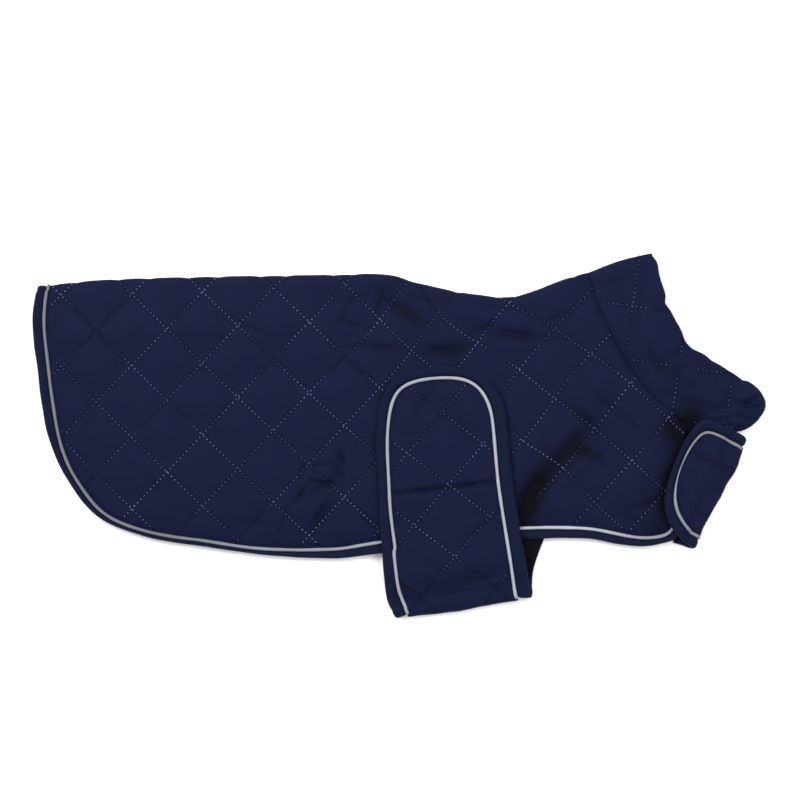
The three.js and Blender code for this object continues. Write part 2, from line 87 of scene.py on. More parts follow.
# How much of the near hem's binding shows: columns x, width
HEM_TRIM = [
    (-275, 7.2), (-268, 7.2), (-261, 5.8), (-253, 4.6), (-240, 4.2), (-224, 3.1), (-209, 2.5),
    (-164, 2.6), (-149, 3.1), (-119, 2.6), (-104, 2.8), (-89, 3.6), (-74, 4.3), (-59, 5.4),
    (-44, 5.4), (-29, 6.4), (-14, 7.0), (114, 6.8), (129, 6.5), (144, 6.4), (159, 6.0),
    (174, 5.3), (189, 4.5), (196, 3.9), (206, 3.9), (213, 5.5), (222, 7.0),
]
NECK_SEAM = [
    (143.5, 122), (148, 106), (154, 91), (161.5, 74), (172, 55.5), (185, 37.5), (198.5, 24),
    (214, 12), (228.5, 3),
]
COLLAR_BACK = [(143.5, 123), (158.5, 129), (171, 133.4), (180, 136), (187, 137.3)]
COLLAR_OPENING = [
    (187, 137.3), (190.6, 136.6), (193, 134), (194.6, 129), (196, 120), (198.6, 111.8),
    (200.5, 104.3), (200.2, 100.4), (202.8, 96), (206.8, 89.3), (210.5, 82.5), (212.7, 77.3),
    (215.4, 70.8), (219.2, 66.6), (225.6, 63.1), (231.2, 60.2), (235.4, 56.9), (241.4, 53.2),
    (247.6, 49.6), (253.3, 45.8), (258.2, 42),
]
COLLAR_THROAT = [
    (258.2, 42), (262.8, 41.4), (266.8, 39.1), (271.2, 35.1), (274.9, 29.5), (276.6, 24), (275.6, 19),
    (271.8, 12.8), (267, 8.3), (261.2, 4.9), (252.8, 2.6), (242.5, 2), (228.5, 3),
]

# Main folds of the near side: middle x, middle y, turn in degrees, length, width, rise
MAIN_CREASES = [
    (119, -20, 51, 92, 14, -1.7), (87, 76, -8, 46, 8, -1.8), (144, -14, -25, 28, 10, -1.4),
    (36, 64, 4, 40, 12, -2), (-12, 66, -5, 34, 6, -1.3), (-60, -40, 30, 34, 6, -1.2),
    (-58, -62, 55, 38, 6, -1.1), (4, 94, -38, 46, 12, -1.8), (60, 92, -12, 60, 14, 1.4),
    (176, -30, 62, 60, 16, 1.2), (-150, 20, 8, 120, 30, 0.8), (205, -28, 80, 46, 9, -1.6),
]
# Smaller creases of the same cloth, in the same columns
FINE_CREASES = [
    (-46, -27, -62, 17, 4, -0.9), (-72, -26, 78, 20, 4, -0.8), (-58, -22, 6, 16, 4, -0.7),
    (-43, -17, -70, 14, 3.5, -0.8), (-35, 103, 14, 18, 3.5, -0.8), (-28, 72, 16, 26, 5, 0.6),
    (104, -3, 60, 44, 5, 0.8), (132, -28, 46, 52, 6, 0.8), (98, -46, 70, 40, 8, -1.1),
    (156, 24, -36, 32, 6, -0.7), (118, 88, 30, 34, 6, -0.7), (70, 84, 34, 30, 6, -0.8),
    (-186, -34, -40, 44, 8, -0.6), (-205, 60, 60, 50, 9, -0.5), (-120, 84, -20, 48, 7, -0.5),
    (-232, 20, 82, 40, 7, -0.5), (-96, -68, -12, 36, 6, -0.6),
    (-14, 100, 80, 26, 5, -1.0), (-40, 92, 62, 26, 4, -0.9), (-36, 84, -20, 22, 5, -0.8),
    (-71.5, -42, 52, 20, 3.5, -1.3), (-57, -35, -10, 24, 3.5, -1.3), (-43.5, -19, 86, 22, 6, -1.0),
    (-61, -62, 62, 30, 5, -1.1), (-20, -68, -50, 22, 6, -1.0), (-87, -66, 70, 24, 5, -0.8),
    (16, 104, -18, 44, 3.5, -1.0), (60, 99, -6, 60, 4, -0.9), (101, -54, 62, 34, 10, -1.2),
    (138, 15, -38, 24, 6, -1.0), (200, -50, 84, 40, 8, -0.8), (210, 4, -30, 24, 7, -1.0),
    (190, -50, 20, 30, 6, -0.7), (176, 8, -48, 26, 5, -0.6), (-20, 40, -48, 40, 6, -0.6), (-160, -58, -22, 34, 5, -0.5),
]
# Gathers where the band of the collar turns under the throat, in the same columns
GATHERS = [
    (262, 30, 20, 30, 5, 1.5), (256, 25, -12, 34, 4, -1.5), (250, 17, 12, 36, 5, 1.3),
    (258, 13, -30, 26, 4, -1.2), (236, 40, -52, 34, 6, -1.2), (184, 104, 84, 40, 7, -1.3),
]
FINE_GATHERS = [
    (264, 22, -4, 20, 2.6, -0.9), (266, 27, 34, 16, 2.4, -0.8), (248, 29, 64, 18, 3, -0.8),
    (190, 60, -56, 40, 6, -0.8), (214, 42, -28, 44, 6, -0.7), (168, 118, 20, 26, 5, -0.7),
    (178, 118, 78, 30, 4, 0.6), (206, 60, 38, 28, 5, -0.6), (228, 24, -14, 40, 6, -0.7),
]

# Soft shade in the deep folds, in the same columns: it darkens the cloth and moves nothing
HOLLOWS = [
    (96, -55, 78, 64, 22, -1.8), (204, -42, 74, 84, 20, -1.7), (212, 7, 30, 36, 20, -3),
    (136, -14, 34, 74, 26, -0.9), (176, 56, -50, 46, 14, -0.7), (214, 30, -62, 50, 18, -0.7),
    (184, -42, 72, 84, 32, -0.6), (262, 18, -60, 40, 14, -0.4),
]

# Quilting grids: a crossing, then the step to the next one along each of the two stitch lines.
# Pulls drag a grid where the cloth is pulled: middle x, middle y, drag in x and in y, radius.
BODY_QUILT = {"origin": (-253.5, 132.75), "u": (26.6, 26.85), "v": (26.6, -26.85), "shift": 0.5,
              "tilt": 0.01415, "bend": 0.000192, "bend_start": -226.9,
              "pulls": [(45, 92, -9, -4, 40), (85, 104, -8, -3, 25), (-25, 80, 1.5, -3.5, 35),
                        (160, 45, 0, 5, 35), (185, 5, 4, 0, 45), (118, -28, 4.5, 3, 28),
                        (125, 45, -3, 1, 35)]}
COLLAR_QUILT = {"origin": (175.5, 97.5), "u": (40.6, -5.7), "v": (5.6, 39.6), "shift": 0.0,
                "tilt": 0.0, "bend": 0.0, "bend_start": 0.0, "pulls": []}
BELLY_QUILT = {"origin": (37.5, -36.4), "u": (30.8, -23.6), "v": (25.9, 30.4), "shift": 0.0,
               "tilt": 0.0, "bend": 0.0, "bend_start": 0.0, "pulls": []}
CHEST_QUILT = {"origin": (222, -14), "u": (36, -14), "v": (14, 36), "shift": 0.0,
               "tilt": 0.0, "bend": 0.0, "bend_start": 0.0, "pulls": []}

# Where the stitches are fainter, closer to the cloth's colour: middle x, middle y, radius
FAINT_STITCHES = [
    (20, -126, 20), (48, -126, 20), (76, -120, 18), (-232, 70, 30), (122, 116, 16), (28, 112, 14),
]

# Straps: outlines as columns across, along, in a frame at the middle of the folded edge. Trim gives
# the binding's width, and cord the piping's slimness, by the share of the outline; bulge gives the
# fold's sag by the place across.
BELLY_STRAP = {
    "name": "belly_strap", "root": (44.6, -129.15), "turn": 8.53, "quilt": BELLY_QUILT,
    "fold_reach": 38, "flat": (0.112, 0.25), "area": 0.0205, "thread": 1.0, "twist": 51,
    "trim": [(0, 10.2), (0.15, 9.7), (0.3, 9.3), (0.37, 8.6), (0.45, 7.4), (0.55, 6.8), (0.65, 7.0),
             (0.8, 6.6), (0.87, 8.0), (1, 8.8)],
    "cord": [(0, 1), (1, 1)],
    "bulge": [(-44, 1), (-36, 1.6), (-15, 2.2), (10, 2.8), (26, 1.4), (45, 1.4), (56, 0.8)],
    "upper": [
        (55.4, 0), (55.6, 14), (54.9, 55), (54.5, 88), (56.2, 120), (56.8, 139), (54.8, 152),
        (48.5, 166), (35.5, 176.5), (14, 181.3), (-9.2, 181.1), (-24, 175.8), (-32.9, 165),
        (-40.7, 141), (-46, 95.5), (-50, 51), (-52, 25), (-51.3, 13), (-49.5, 6.5), (-46.5, 2),
        (-44, 0),
    ],
    "lower_right": [(55.4, 0), (57.6, 8), (60, 17), (64.6, 28), (72.5, 42), (80, 54)],
    "lower_left": [(-44, 0), (-46, 8), (-47, 28), (-45, 42), (-42, 56)],
    "creases": [(36, -39, 7, 110, 5, -1.3), (52, -108, 12, 50, 9, -0.9), (20, 28, 60, 40, 9, -0.8)],
    "fine_creases": [
        (36, -38.2, 7, 96, 2.2, -0.7), (60, -70, 40, 30, 5, -0.5), (22, -96, -30, 34, 6, -0.5),
        (70, -110, 20, 26, 5, 0.5), (40, -118, 8, 44, 4, -0.5), (48, 8, -20, 34, 6, -0.4),
    ],
}
CHEST_STRAP = {
    "name": "chest_strap", "root": (241.5, -40.5), "turn": 65.26, "quilt": CHEST_QUILT,
    "fold_reach": 16, "flat": (0.075, 0.072), "area": 0.0047, "thread": 0.2, "twist": 0,
    "trim": [(0, 7.4), (0.2, 7.0), (0.27, 6.3), (0.4, 4.4), (0.55, 4.4), (0.66, 5.6), (0.74, 6.6),
             (0.82, 7.6), (1, 7.8)],
    "bulge": [(-48, 1.6), (-40, 1.6), (-31, 1.0), (-24, 1.2), (-14, 2), (-4, 3), (6, 3.8),
              (15, 4.7), (23, 4.9), (32, 3.6), (39, 2.8)],
    "cord": [(0, 1), (0.2, 0.85), (0.3, 0.75), (0.42, 0.6), (0.5, 0.35), (0.56, 0.45), (0.64, 0.8),
             (0.72, 1)],
    "upper": [
        (42.4, 0), (44.6, 6), (45, 21), (44, 31), (39.5, 36.4), (29.9, 39), (16.2, 40.4),
        (4.2, 40.4), (-10, 39), (-19, 37), (-27, 34), (-35, 28.6), (-40.5, 22), (-44.4, 15.5),
        (-47.2, 8.5), (-48, 3), (-46.5, 0),
    ],
    "lower_right": [(42.4, 0), (42, 8), (40, 18), (37, 34)],
    "lower_left": [(-46.5, 0), (-48.9, 4), (-50.2, 10.3), (-51, 16.8), (-51.5, 30)],
    "creases": [(228, -16, -35, 24, 6, -0.7)],
    "fine_creases": [
        (222, -32, 70, 30, 4, -0.4), (236, -40, 60, 30, 5, -0.5), (230, -6, -20, 20, 4, -0.4),
    ],
}

# Layers and trims in millimetres, as the frame's solids have them
UNDER_LAYER = 3.8
LAYER_GAP = 0.5
SEAM_WALL = 2.6
STRAP_WALL = 2.3
FOLD_INNER = 6.0
TRIM_HEIGHT = 3.8
TRIM_SETBACK = 0.3
COVER_GAP = 0.7
AIR_HEIGHT = 3.2
AIR_FADE = 42.0
AIR_SHARE = 0.75
BINDING_WIDTH = 7.6
PIPING_WIDTH = 3.5
STRAP_RISE = 8.0
STRAP_QUILT_START = 24.0

# Finer sizes of the dressed coat, in millimetres
QUILT_HEAD_START = 3.0
QUILT_REACH = 17.0
SEAM_DIP = 1.9
SEAM_REACH = 6.0
FAR_SEAM_DIP = 1.2
FAR_SEAM_REACH = 4.0
LIFT_REACH = 1.5
CUT_GAP = 0.1
PAST_END = 14
CORD_PLACE = 1.4
CORD_FOOT = 1.95
TRIM_STEP = 2.0
SMOOTH_STEP = 2.0
STITCH_START = 5.5
STITCH_LIFT = 0.00012
FLOOR_DROP = 0.0002
BLOCK = 4000


class CoatSizes(bpy.types.PropertyGroup):
    """Sizes that a cutter would change."""

    cloth_step: bpy.props.FloatProperty(
        name="Cloth step", description="Side of the cloth's triangles", default=0.00175, min=0.0008,
        subtype="DISTANCE")
    lining_step: bpy.props.FloatProperty(
        name="Lining step", description="Side of the lining's triangles", default=0.005, min=0.002,
        subtype="DISTANCE")
    puff: bpy.props.FloatProperty(
        name="Puff", description="Height of a quilted diamond above its stitch lines", default=0.0024,
        subtype="DISTANCE")
    strap_puff: bpy.props.FloatProperty(
        name="Strap puff", description="Height of a strap's diamonds", default=0.002, subtype="DISTANCE")
    underside_puff: bpy.props.FloatProperty(
        name="Underside puff", description="Depth of the quilting that the coat lies on", default=0.001,
        subtype="DISTANCE")
    stitch_pitch: bpy.props.FloatProperty(
        name="Stitch pitch", description="From one quilting stitch to the next", default=0.0035,
        subtype="DISTANCE")
    stitch_length: bpy.props.FloatProperty(
        name="Stitch length", description="Thread that shows in each stitch", default=0.0016,
        subtype="DISTANCE")
    stitch_width: bpy.props.FloatProperty(
        name="Stitch width", description="Width of the thread", default=0.0012, subtype="DISTANCE")


class CoatColours(bpy.types.PropertyGroup):
    """Colours of the coat, in linear light."""

    navy: bpy.props.FloatVectorProperty(
        name="Cloth", description="Quilted navy cloth", subtype="COLOR", default=(0.0040, 0.0062, 0.0262))
    tape: bpy.props.FloatVectorProperty(
        name="Binding", description="Binding tape", subtype="COLOR", default=(0.0037, 0.0060, 0.0225))
    piping: bpy.props.FloatVectorProperty(
        name="Piping", description="Reflective piping", subtype="COLOR", default=(0.36, 0.374, 0.432))
    thread: bpy.props.FloatVectorProperty(
        name="Thread", description="Quilting thread", subtype="COLOR", default=(0.043, 0.055, 0.13))
    lining: bpy.props.FloatVectorProperty(
        name="Lining", description="Black fleece lining", subtype="COLOR", default=(0.0032, 0.003, 0.0052))


# Plan lines


def fade(distance, reach):
    share = np.clip(distance / reach, 0, 1)
    return share * share * (3 - 2 * share)


def smooth_path(points, step):
    """Points evenly spaced along a centripetal curve through the given ones."""
    given = np.asarray(points, float)
    ends = np.vstack([2 * given[0] - given[1], given, 2 * given[-1] - given[-2]])
    fine = []
    for p0, p1, p2, p3 in zip(ends, ends[1:], ends[2:], ends[3:]):
        d01, d12, d23 = (max(math.dist(a, b), 1e-9) ** 0.5 for a, b in ((p0, p1), (p1, p2), (p2, p3)))
        m1 = (p2 - p1) + d12 * ((p1 - p0) / d01 - (p2 - p0) / (d01 + d12))
        m2 = (p2 - p1) + d12 * ((p3 - p2) / d23 - (p3 - p1) / (d12 + d23))
        t = np.linspace(0, 1, 24, endpoint=False)[:, None]
        fine.append((2 * t**3 - 3 * t**2 + 1) * p1 + (t**3 - 2 * t**2 + t) * m1
                    + (3 * t**2 - 2 * t**3) * p2 + (t**3 - t**2) * m2)
    return resample(np.vstack(fine + [given[-1:]]), step)


def runs_along(path):
    """How far along a line each of its points is."""
    return np.concatenate([[0], np.cumsum(np.linalg.norm(np.diff(path, axis=0), axis=1))])


def between(at, runs, rows):
    """Rows of values at places between those where they are given."""
    return np.column_stack([np.interp(at, runs, column) for column in rows.T])


def resample(path, step=None, count=None):
    """The same line with even steps, or with a given count of points."""
    runs = runs_along(path)
    count = count or max(2, round(runs[-1] / step)) + 1
    return between(np.linspace(0, runs[-1], count), runs, path)


def extend(path, run):
    """The line made longer by a straight run at each end."""
    first, last = path[0] - path[1], path[-1] - path[-2]
    first *= run / np.linalg.norm(first)
    last *= run / np.linalg.norm(last)
    return np.vstack([path[0] + first, path, path[-1] + last])


def crossing(line, other):
    """Where a plan line first meets another: the number of its point before, and the place."""
    p, r = line[:-1, None], np.diff(line, axis=0)[:, None]
    q, s = other[None, :-1], np.diff(other, axis=0)[None]
    turn = r[..., 0] * s[..., 1] - r[..., 1] * s[..., 0]
    away = q - p
    with np.errstate(divide="ignore", invalid="ignore"):
        t = (away[..., 0] * s[..., 1] - away[..., 1] * s[..., 0]) / turn
        u = (away[..., 0] * r[..., 1] - away[..., 1] * r[..., 0]) / turn
    found = np.argwhere((t >= 0) & (t <= 1) & (u >= 0) & (u <= 1))
    if not len(found):
        raise ValueError("two cut lines do not meet")
    i, j = found[0]
    return i, line[i] + t[i, j] * (line[i + 1] - line[i])


def stretch(line, start, end):
    """The part of a line between its crossings with two others."""
    i, first = crossing(line, start)
    j, last = crossing(line, end)
    return np.vstack([first, line[i + 1:j + 1], last])


def left_normals(path):
    along = np.gradient(path, axis=0)
    along /= np.linalg.norm(along, axis=1)[:, None]
    return np.column_stack([-along[:, 1], along[:, 0]])


def offset_path(path, distance):
    return path + left_normals(path) * np.reshape(distance, (-1, 1))


def inset(path, distance, passes=3):
    """An offset line that is cut short inside tight curves and softened there."""
    line = offset_path(path, distance)
    kept = distance_to_path(line, path) > np.abs(distance) - 0.12
    kept[[0, -1]] = True
    index = np.arange(len(path))
    line = between(index, index[kept], line[kept])
    runs = runs_along(line)
    even = resample(line, SMOOTH_STEP)
    for _ in range(passes):
        even[1:-1] = (even[:-2] + 2 * even[1:-1] + even[2:]) / 4
    return between(runs, np.linspace(0, runs[-1], len(even)), even)


def soft_normals(line):
    """Left normals of a line that may stand still for a few points."""
    even = resample(line, SMOOTH_STEP)
    runs = runs_along(line)
    return between(runs, np.linspace(0, runs[-1], len(even)), left_normals(even))


def distance_to_path(points, path):
    """Shortest way from each point to a line, worked out in blocks to spare memory."""
    start, run = path[:-1], np.diff(path, axis=0)
    length = (run**2).sum(axis=1)
    out = np.empty(len(points))
    for low in range(0, len(points), BLOCK):
        away = points[low:low + BLOCK, None, :] - start[None]
        share = np.clip((away * run).sum(axis=2) / length, 0, 1)
        out[low:low + BLOCK] = np.linalg.norm(away - share[..., None] * run, axis=2).min(axis=1)
    return out


def inside(points, ring):
    """True for each point inside a closed ring."""
    x, y = points[:, 0][:, None], points[:, 1][:, None]
    x0, y0 = ring.T
    x1, y1 = np.roll(ring, -1, axis=0).T
    out = np.zeros(len(points), bool)
    for low in range(0, len(points), BLOCK):
        px, py = x[low:low + BLOCK], y[low:low + BLOCK]
        spans = (y0 > py) != (y1 > py)
        with np.errstate(divide="ignore", invalid="ignore"):
            hits = spans & (px < (x1 - x0) * (py - y0) / (y1 - y0) + x0)
        out[low:low + BLOCK] = hits.sum(axis=1) % 2 == 1
    return out


LINE_STEP = 2.5
SPINE_LINE = smooth_path(SPINE, LINE_STEP)
HEM_LINE = smooth_path(HEM, LINE_STEP)
NECK_LINE = smooth_path(NECK_SEAM, LINE_STEP)
BACK_LINE = smooth_path(COLLAR_BACK, LINE_STEP)
OPENING_LINE = smooth_path(COLLAR_OPENING, LINE_STEP)
THROAT_LINE = smooth_path(COLLAR_THROAT, LINE_STEP)
FOLDED_EDGE = np.vstack([SPINE_LINE, BACK_LINE[1:]])
FLAT_EDGE = np.vstack([THROAT_LINE, HEM_LINE[::-1][1:]])

# Heights of the cloth


def crease_height(points, table):
    """Sum of soft troughs and ridges."""
    total = np.zeros(len(points))
    for x, y, turn, length, width, rise in table:
        c, s = math.cos(math.radians(turn)), math.sin(math.radians(turn))
        dx, dy = points[:, 0] - x, points[:, 1] - y
        along, across = dx * c + dy * s, dy * c - dx * s
        total += rise * np.exp(-((2 * along / length) ** 2) - (2 * across / width) ** 2)
    return total


def ripple(points, wave, seed):
    """Gentle uneven waves, the same each run, between -1 and 1."""
    rng = np.random.default_rng(seed)
    total = np.zeros(len(points))
    waves = [rng.uniform(low, high, 7) for low, high in ((0, math.pi), (0, 6.3), (0.7, 1.6))]
    for turn, start, scale in zip(*waves):
        total += np.sin((points[:, 0] * math.cos(turn) + points[:, 1] * math.sin(turn))
                        * 2 * math.pi / (wave * scale) + start)
    return total / 4


def air_lift(points):
    edge = fade(distance_to_path(points, FLAT_EDGE) - BINDING_WIDTH, AIR_FADE)
    return AIR_HEIGHT * edge * fade(distance_to_path(points, FOLDED_EDGE), AIR_FADE)


def near_inner(points):
    return UNDER_LAYER + LAYER_GAP + AIR_SHARE * air_lift(points)


def near_face(points):
    lift = air_lift(points)
    folds = 1.5 * crease_height(points, MAIN_CREASES) + 1.9 * crease_height(points, FINE_CREASES)
    return UNDER_LAYER + LAYER_GAP + SEAM_WALL + np.maximum(0, lift + folds * fade(lift, LIFT_REACH))


def near_cover(points, puff):
    """A smooth height that clears the near side, for what lies on it."""
    lift = air_lift(points)
    ridge = np.maximum(0, crease_height(points, MAIN_CREASES)) * fade(lift, LIFT_REACH)
    ridge += np.maximum(0, crease_height(points, GATHERS))
    return UNDER_LAYER + LAYER_GAP + SEAM_WALL + puff + lift + ridge + COVER_GAP


def dragged(points, quilt):
    """How far the pulls of a quilting grid drag each point."""
    total = np.zeros((len(points), 2))
    for x, y, drag_x, drag_y, radius in quilt["pulls"]:
        near = np.exp(-((points[:, 0] - x) ** 2 + (points[:, 1] - y) ** 2) / radius**2)
        total += near[:, None] * (drag_x, drag_y)
    return total


def quilt_place(cloth, quilt):
    """Where points of the cloth lie on a quilting grid, whose stitch lines are at whole numbers."""
    points = cloth[:, :2]
    for _ in range(5 if quilt["pulls"] else 0):
        points = cloth[:, :2] - dragged(points, quilt)
    (ux, uy), (vx, vy) = quilt["u"], quilt["v"]
    run = points[:, 0] - quilt["bend_start"]
    dx = points[:, 0] - quilt["origin"][0]
    dy = points[:, 1] - quilt["origin"][1] - quilt["tilt"] * run - quilt["bend"] * run**2
    area = ux * vy - uy * vx
    return np.column_stack([(dx * vy - dy * vx) / area, (dy * ux - dx * uy) / area]) + quilt["shift"]


def quilt_point(place, quilt):
    (ux, uy), (vx, vy) = quilt["u"], quilt["v"]
    a, b = (place - quilt["shift"]).T
    x = quilt["origin"][0] + a * ux + b * vx
    run = x - quilt["bend_start"]
    y = quilt["origin"][1] + a * uy + b * vy + quilt["tilt"] * run + quilt["bend"] * run**2
    points = np.column_stack([x, y])
    return points + dragged(points, quilt)


def quilting_share(away):
    """How much of the quilting's height shows at a distance from a seam."""
    return fade(away + QUILT_HEAD_START, QUILT_REACH)


def pillow(place):
    """Full in the middle of a diamond, pulled down along its stitch lines."""
    waves = np.abs(np.sin(math.pi * place))
    return (waves[:, 0] * waves[:, 1]) ** 0.5


def unfolded(points):
    """Plan places of the far side, opened out about the folded back."""
    back = np.interp(points[:, 0], FOLDED_EDGE[:, 0], FOLDED_EDGE[:, 1])
    return np.column_stack([points[:, 0], 2 * back - points[:, 1]])


# Cloth meshes


def triangulate(ring, step):
    """A closed plan ring filled with even triangles; the ring's points come first, in order."""
    low, high = ring.min(axis=0), ring.max(axis=0)
    grid = []
    for row, y in enumerate(np.arange(low[1], high[1], step * math.sqrt(0.75))):
        xs = np.arange(low[0] + (row % 2) * step / 2, high[0], step)
        grid.append(np.column_stack([xs, np.full(len(xs), y)]))
    grid = np.vstack(grid)
    grid = grid[inside(grid, ring)]
    grid = grid[distance_to_path(grid, np.vstack([ring, ring[:1]])) > step * 0.45]
    points = np.vstack([ring, grid])
    found = delaunay_2d_cdt([Vector(p) for p in points], [], [list(range(len(ring)))], 1, 1e-5)
    verts, faces, origins = found[0], found[2], found[3]
    order = {origin: index for index, names in enumerate(origins) for origin in names}
    first = [order[index] for index in range(len(ring))]
    taken = set(first)
    kept = first + [index for index in range(len(verts)) if index not in taken]
    new_index = np.empty(len(verts), int)
    new_index[kept] = np.arange(len(verts))
    return np.array([verts[index][:] for index in kept]), new_index[np.array(faces)]


class Shell:
    """Collects the surfaces of one closed piece of cloth."""

    def __init__(self):
        self.points = []
        self.cloth = []
        self.faces = []
        self.inner = []
        self.count = 0

    def add_points(self, places, cloth):
        start = self.count
        self.points.extend(places)
        self.cloth.extend(cloth)
        self.count += len(places)
        return list(range(start, self.count))

    def add_faces(self, faces, inner):
        self.faces.extend([int(name) for name in face] for face in faces)
        self.inner.extend([inner] * len(faces))

    def surface(self, layer, side, step):
        """A filled ring at its height; gives back the ring's vertex numbers."""
        plan, faces = triangulate(layer["ring"], step)
        places = np.column_stack([plan, layer[side](plan)])
        names = np.array(self.add_points(places, layer["cloth"](plan)))
        self.add_faces(names[faces], 1 if side == "inner" else 0)
        return list(names[:len(layer["ring"])])

    def bridge(self, rows, inner):
        """Quads between rows of vertex numbers."""
        for low, high in zip(rows, rows[1:]):
            self.add_faces([[low[i], low[i + 1], high[i + 1], high[i]] for i in range(len(low) - 1)], inner)

    def round_between(self, top, bottom, reach, count, cloth, inner):
        """Rows of new vertices that bulge between two lines by the given plan vectors."""
        points = np.array([self.points[name] for name in top + bottom])
        high, low = points[:len(top)], points[len(top):]
        rows = [top]
        for row in range(1, count):
            angle = math.pi * row / count
            share = (1 - math.cos(angle)) / 2
            place = high * (1 - share) + low * share
            worn = cloth(row / count)
            place[:, :2] += (reach(worn) if callable(reach) else reach) * math.sin(angle)
            rows.append(self.add_points(place, worn))
        rows.append(bottom)
        self.bridge(rows, inner)
        return rows

    def mesh(self, name, quilt, creases):
        points = np.array(self.points) * MM
        cloth = np.array(self.cloth)
        mesh = bpy.data.meshes.new(name)
        mesh.from_pydata(points.tolist(), [], self.faces)
        for title, values in (("cloth", cloth), ("quilt", quilt_place(cloth, quilt))):
            layer = mesh.attributes.new(title, "FLOAT_VECTOR", "POINT")
            layer.data.foreach_set("vector", np.column_stack([values, np.zeros(len(values))]).ravel())
        # Painted shade in the folds: the deeper a crease's trough, the darker the cloth is painted; the shape stays as
        # it is
        painted_fold_shade = np.clip(-crease_height(cloth, creases), 0, 3)
        mesh.attributes.new("painted_fold_shade", "FLOAT", "POINT").data.foreach_set("value", painted_fold_shade)
        mesh.polygons.foreach_set("material_index", self.inner)
        return mesh


def ring_normals(ring):
    """Unit directions out of a ring that runs anticlockwise."""
    along = np.roll(ring, -1, axis=0) - np.roll(ring, 1, axis=0)
    along /= np.linalg.norm(along, axis=1)[:, None]
    return np.column_stack([along[:, 1], -along[:, 0]])


def join_ring(parts):
    """One ring from stretches that meet end to end, and each stretch's numbers in it."""
    points, numbers = [], []
    for part in parts:
        if points and np.allclose(points[-1], part[0], atol=1e-6):
            start = len(points) - 1
            part = part[1:]
        else:
            start = len(points)
        points.extend(part)
        numbers.append(list(range(start, len(points))))
    if np.allclose(points[-1], points[0], atol=1e-6):
        points.pop()
        numbers[-1][-1] = 0
    else:
        numbers[-1].append(0)
    return np.array(points), numbers


FOLD_ROWS = 10
RIM_ROWS = 4


def folded_cloth(near, far, folds, sizes):
    """A closed piece of cloth in two layers, whole round its folds.

    near and far each hold a ring, the heights of their outer and inner faces, the cloth places, and rims:
    lists of ring numbers with the reach of the rounded edge. folds hold the numbers that a fold joins in
    both rings and the plan vectors from the layers' edge out to the fold.
    """
    shell = Shell()
    columns = []
    sides = []
    for layer in (near, far):
        outer = shell.surface(layer, "outer", sizes.cloth_step / MM)
        inner = shell.surface(layer, "inner", sizes.lining_step / MM)
        sides.append({"outer": outer, "inner": inner})
        out = ring_normals(layer["ring"])
        worn = layer["cloth"](layer["ring"])
        ends = {}
        for numbers, reach in layer["rims"]:
            rows = shell.round_between(
                [outer[i] for i in numbers], [inner[i] for i in numbers], out[numbers] * reach, RIM_ROWS,
                lambda share, numbers=numbers: worn[numbers], 0)
            for place in (0, -1):
                ends[numbers[place]] = [row[place] for row in rows]
        columns.append(ends)
    for fold in folds:
        first, last = fold["numbers"]
        start, end = near["cloth"](near["ring"][first]), far["cloth"](far["ring"][last])
        rows = {}
        for side, inner in (("outer", 0), ("inner", 1)):
            rows[side] = shell.round_between(
                [sides[0][side][i] for i in first], [sides[1][side][i] for i in last],
                fold[side], FOLD_ROWS if side == "outer" else 4,
                lambda share: start * (1 - share) + end * share, inner)
        for place in (0, -1):
            loop = [row[place] for row in rows["outer"]]
            loop += columns[1][last[place]][1:]
            loop += [row[place] for row in rows["inner"]][::-1][1:]
            loop += columns[0][first[place]][::-1][1:-1]
            shell.add_faces([loop], 0)
    return shell


def finish_mesh(mesh, name, materials, sharp=60):
    """Puts a mesh in the scene: facing out and smooth, with its materials."""
    work = bmesh.new()
    work.from_mesh(mesh)
    bmesh.ops.triangulate(work, faces=[face for face in work.faces if len(face.verts) > 4])
    bmesh.ops.recalc_face_normals(work, faces=work.faces)
    work.to_mesh(mesh)
    work.free()
    piece = bpy.data.objects.new(name, mesh)
    bpy.context.scene.collection.objects.link(piece)
    for material in materials:
        mesh.materials.append(material)
    bpy.ops.object.select_all(action="DESELECT")
    piece.select_set(True)
    bpy.context.view_layer.objects.active = piece
    bpy.ops.object.shade_smooth_by_angle(angle=math.radians(sharp))
    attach(piece, "root")
    return piece


# The cut of each piece

FOLD_DEPTH = 8.0
HIDDEN_WALL = 1.85


def hem_trim(points):
    """How wide the near hem's binding shows at each place."""
    places, widths = zip(*HEM_TRIM)
    return np.interp(points[:, 0], places, widths)


def coat_outline(gap):
    """The open edge of the coat's plan from tail to throat, a gap outside it."""
    return np.vstack([offset_path(HEM_LINE, -gap), offset_path(THROAT_LINE[::-1], -gap)[1:]])


def under_piping(full, base, away, width):
    """Thin where a piping covers the cloth's edge, full beside it; away is the way in from the hem."""
    return base + HIDDEN_WALL + (full - base - HIDDEN_WALL) * fade(away - width - PIPING_WIDTH, 2.6)


def flat_pad(points, quilt):
    """The quilting that the coat lies on: diamonds pressed flat between their stitch lines."""
    return np.minimum(1, 1.6 * pillow(quilt_place(points, quilt)))


def fold_dip(quilt, depth):
    """How the stitch lines draw a folded edge in, from the cloth places on it."""
    def share(worn):
        depths = depth * fade(distance_to_path(worn, NECK_LINE) - 1, 8)
        return (1 - depths * (1 - np.minimum(1, 1.5 * pillow(quilt_place(worn, quilt)))))[:, None]
    return share


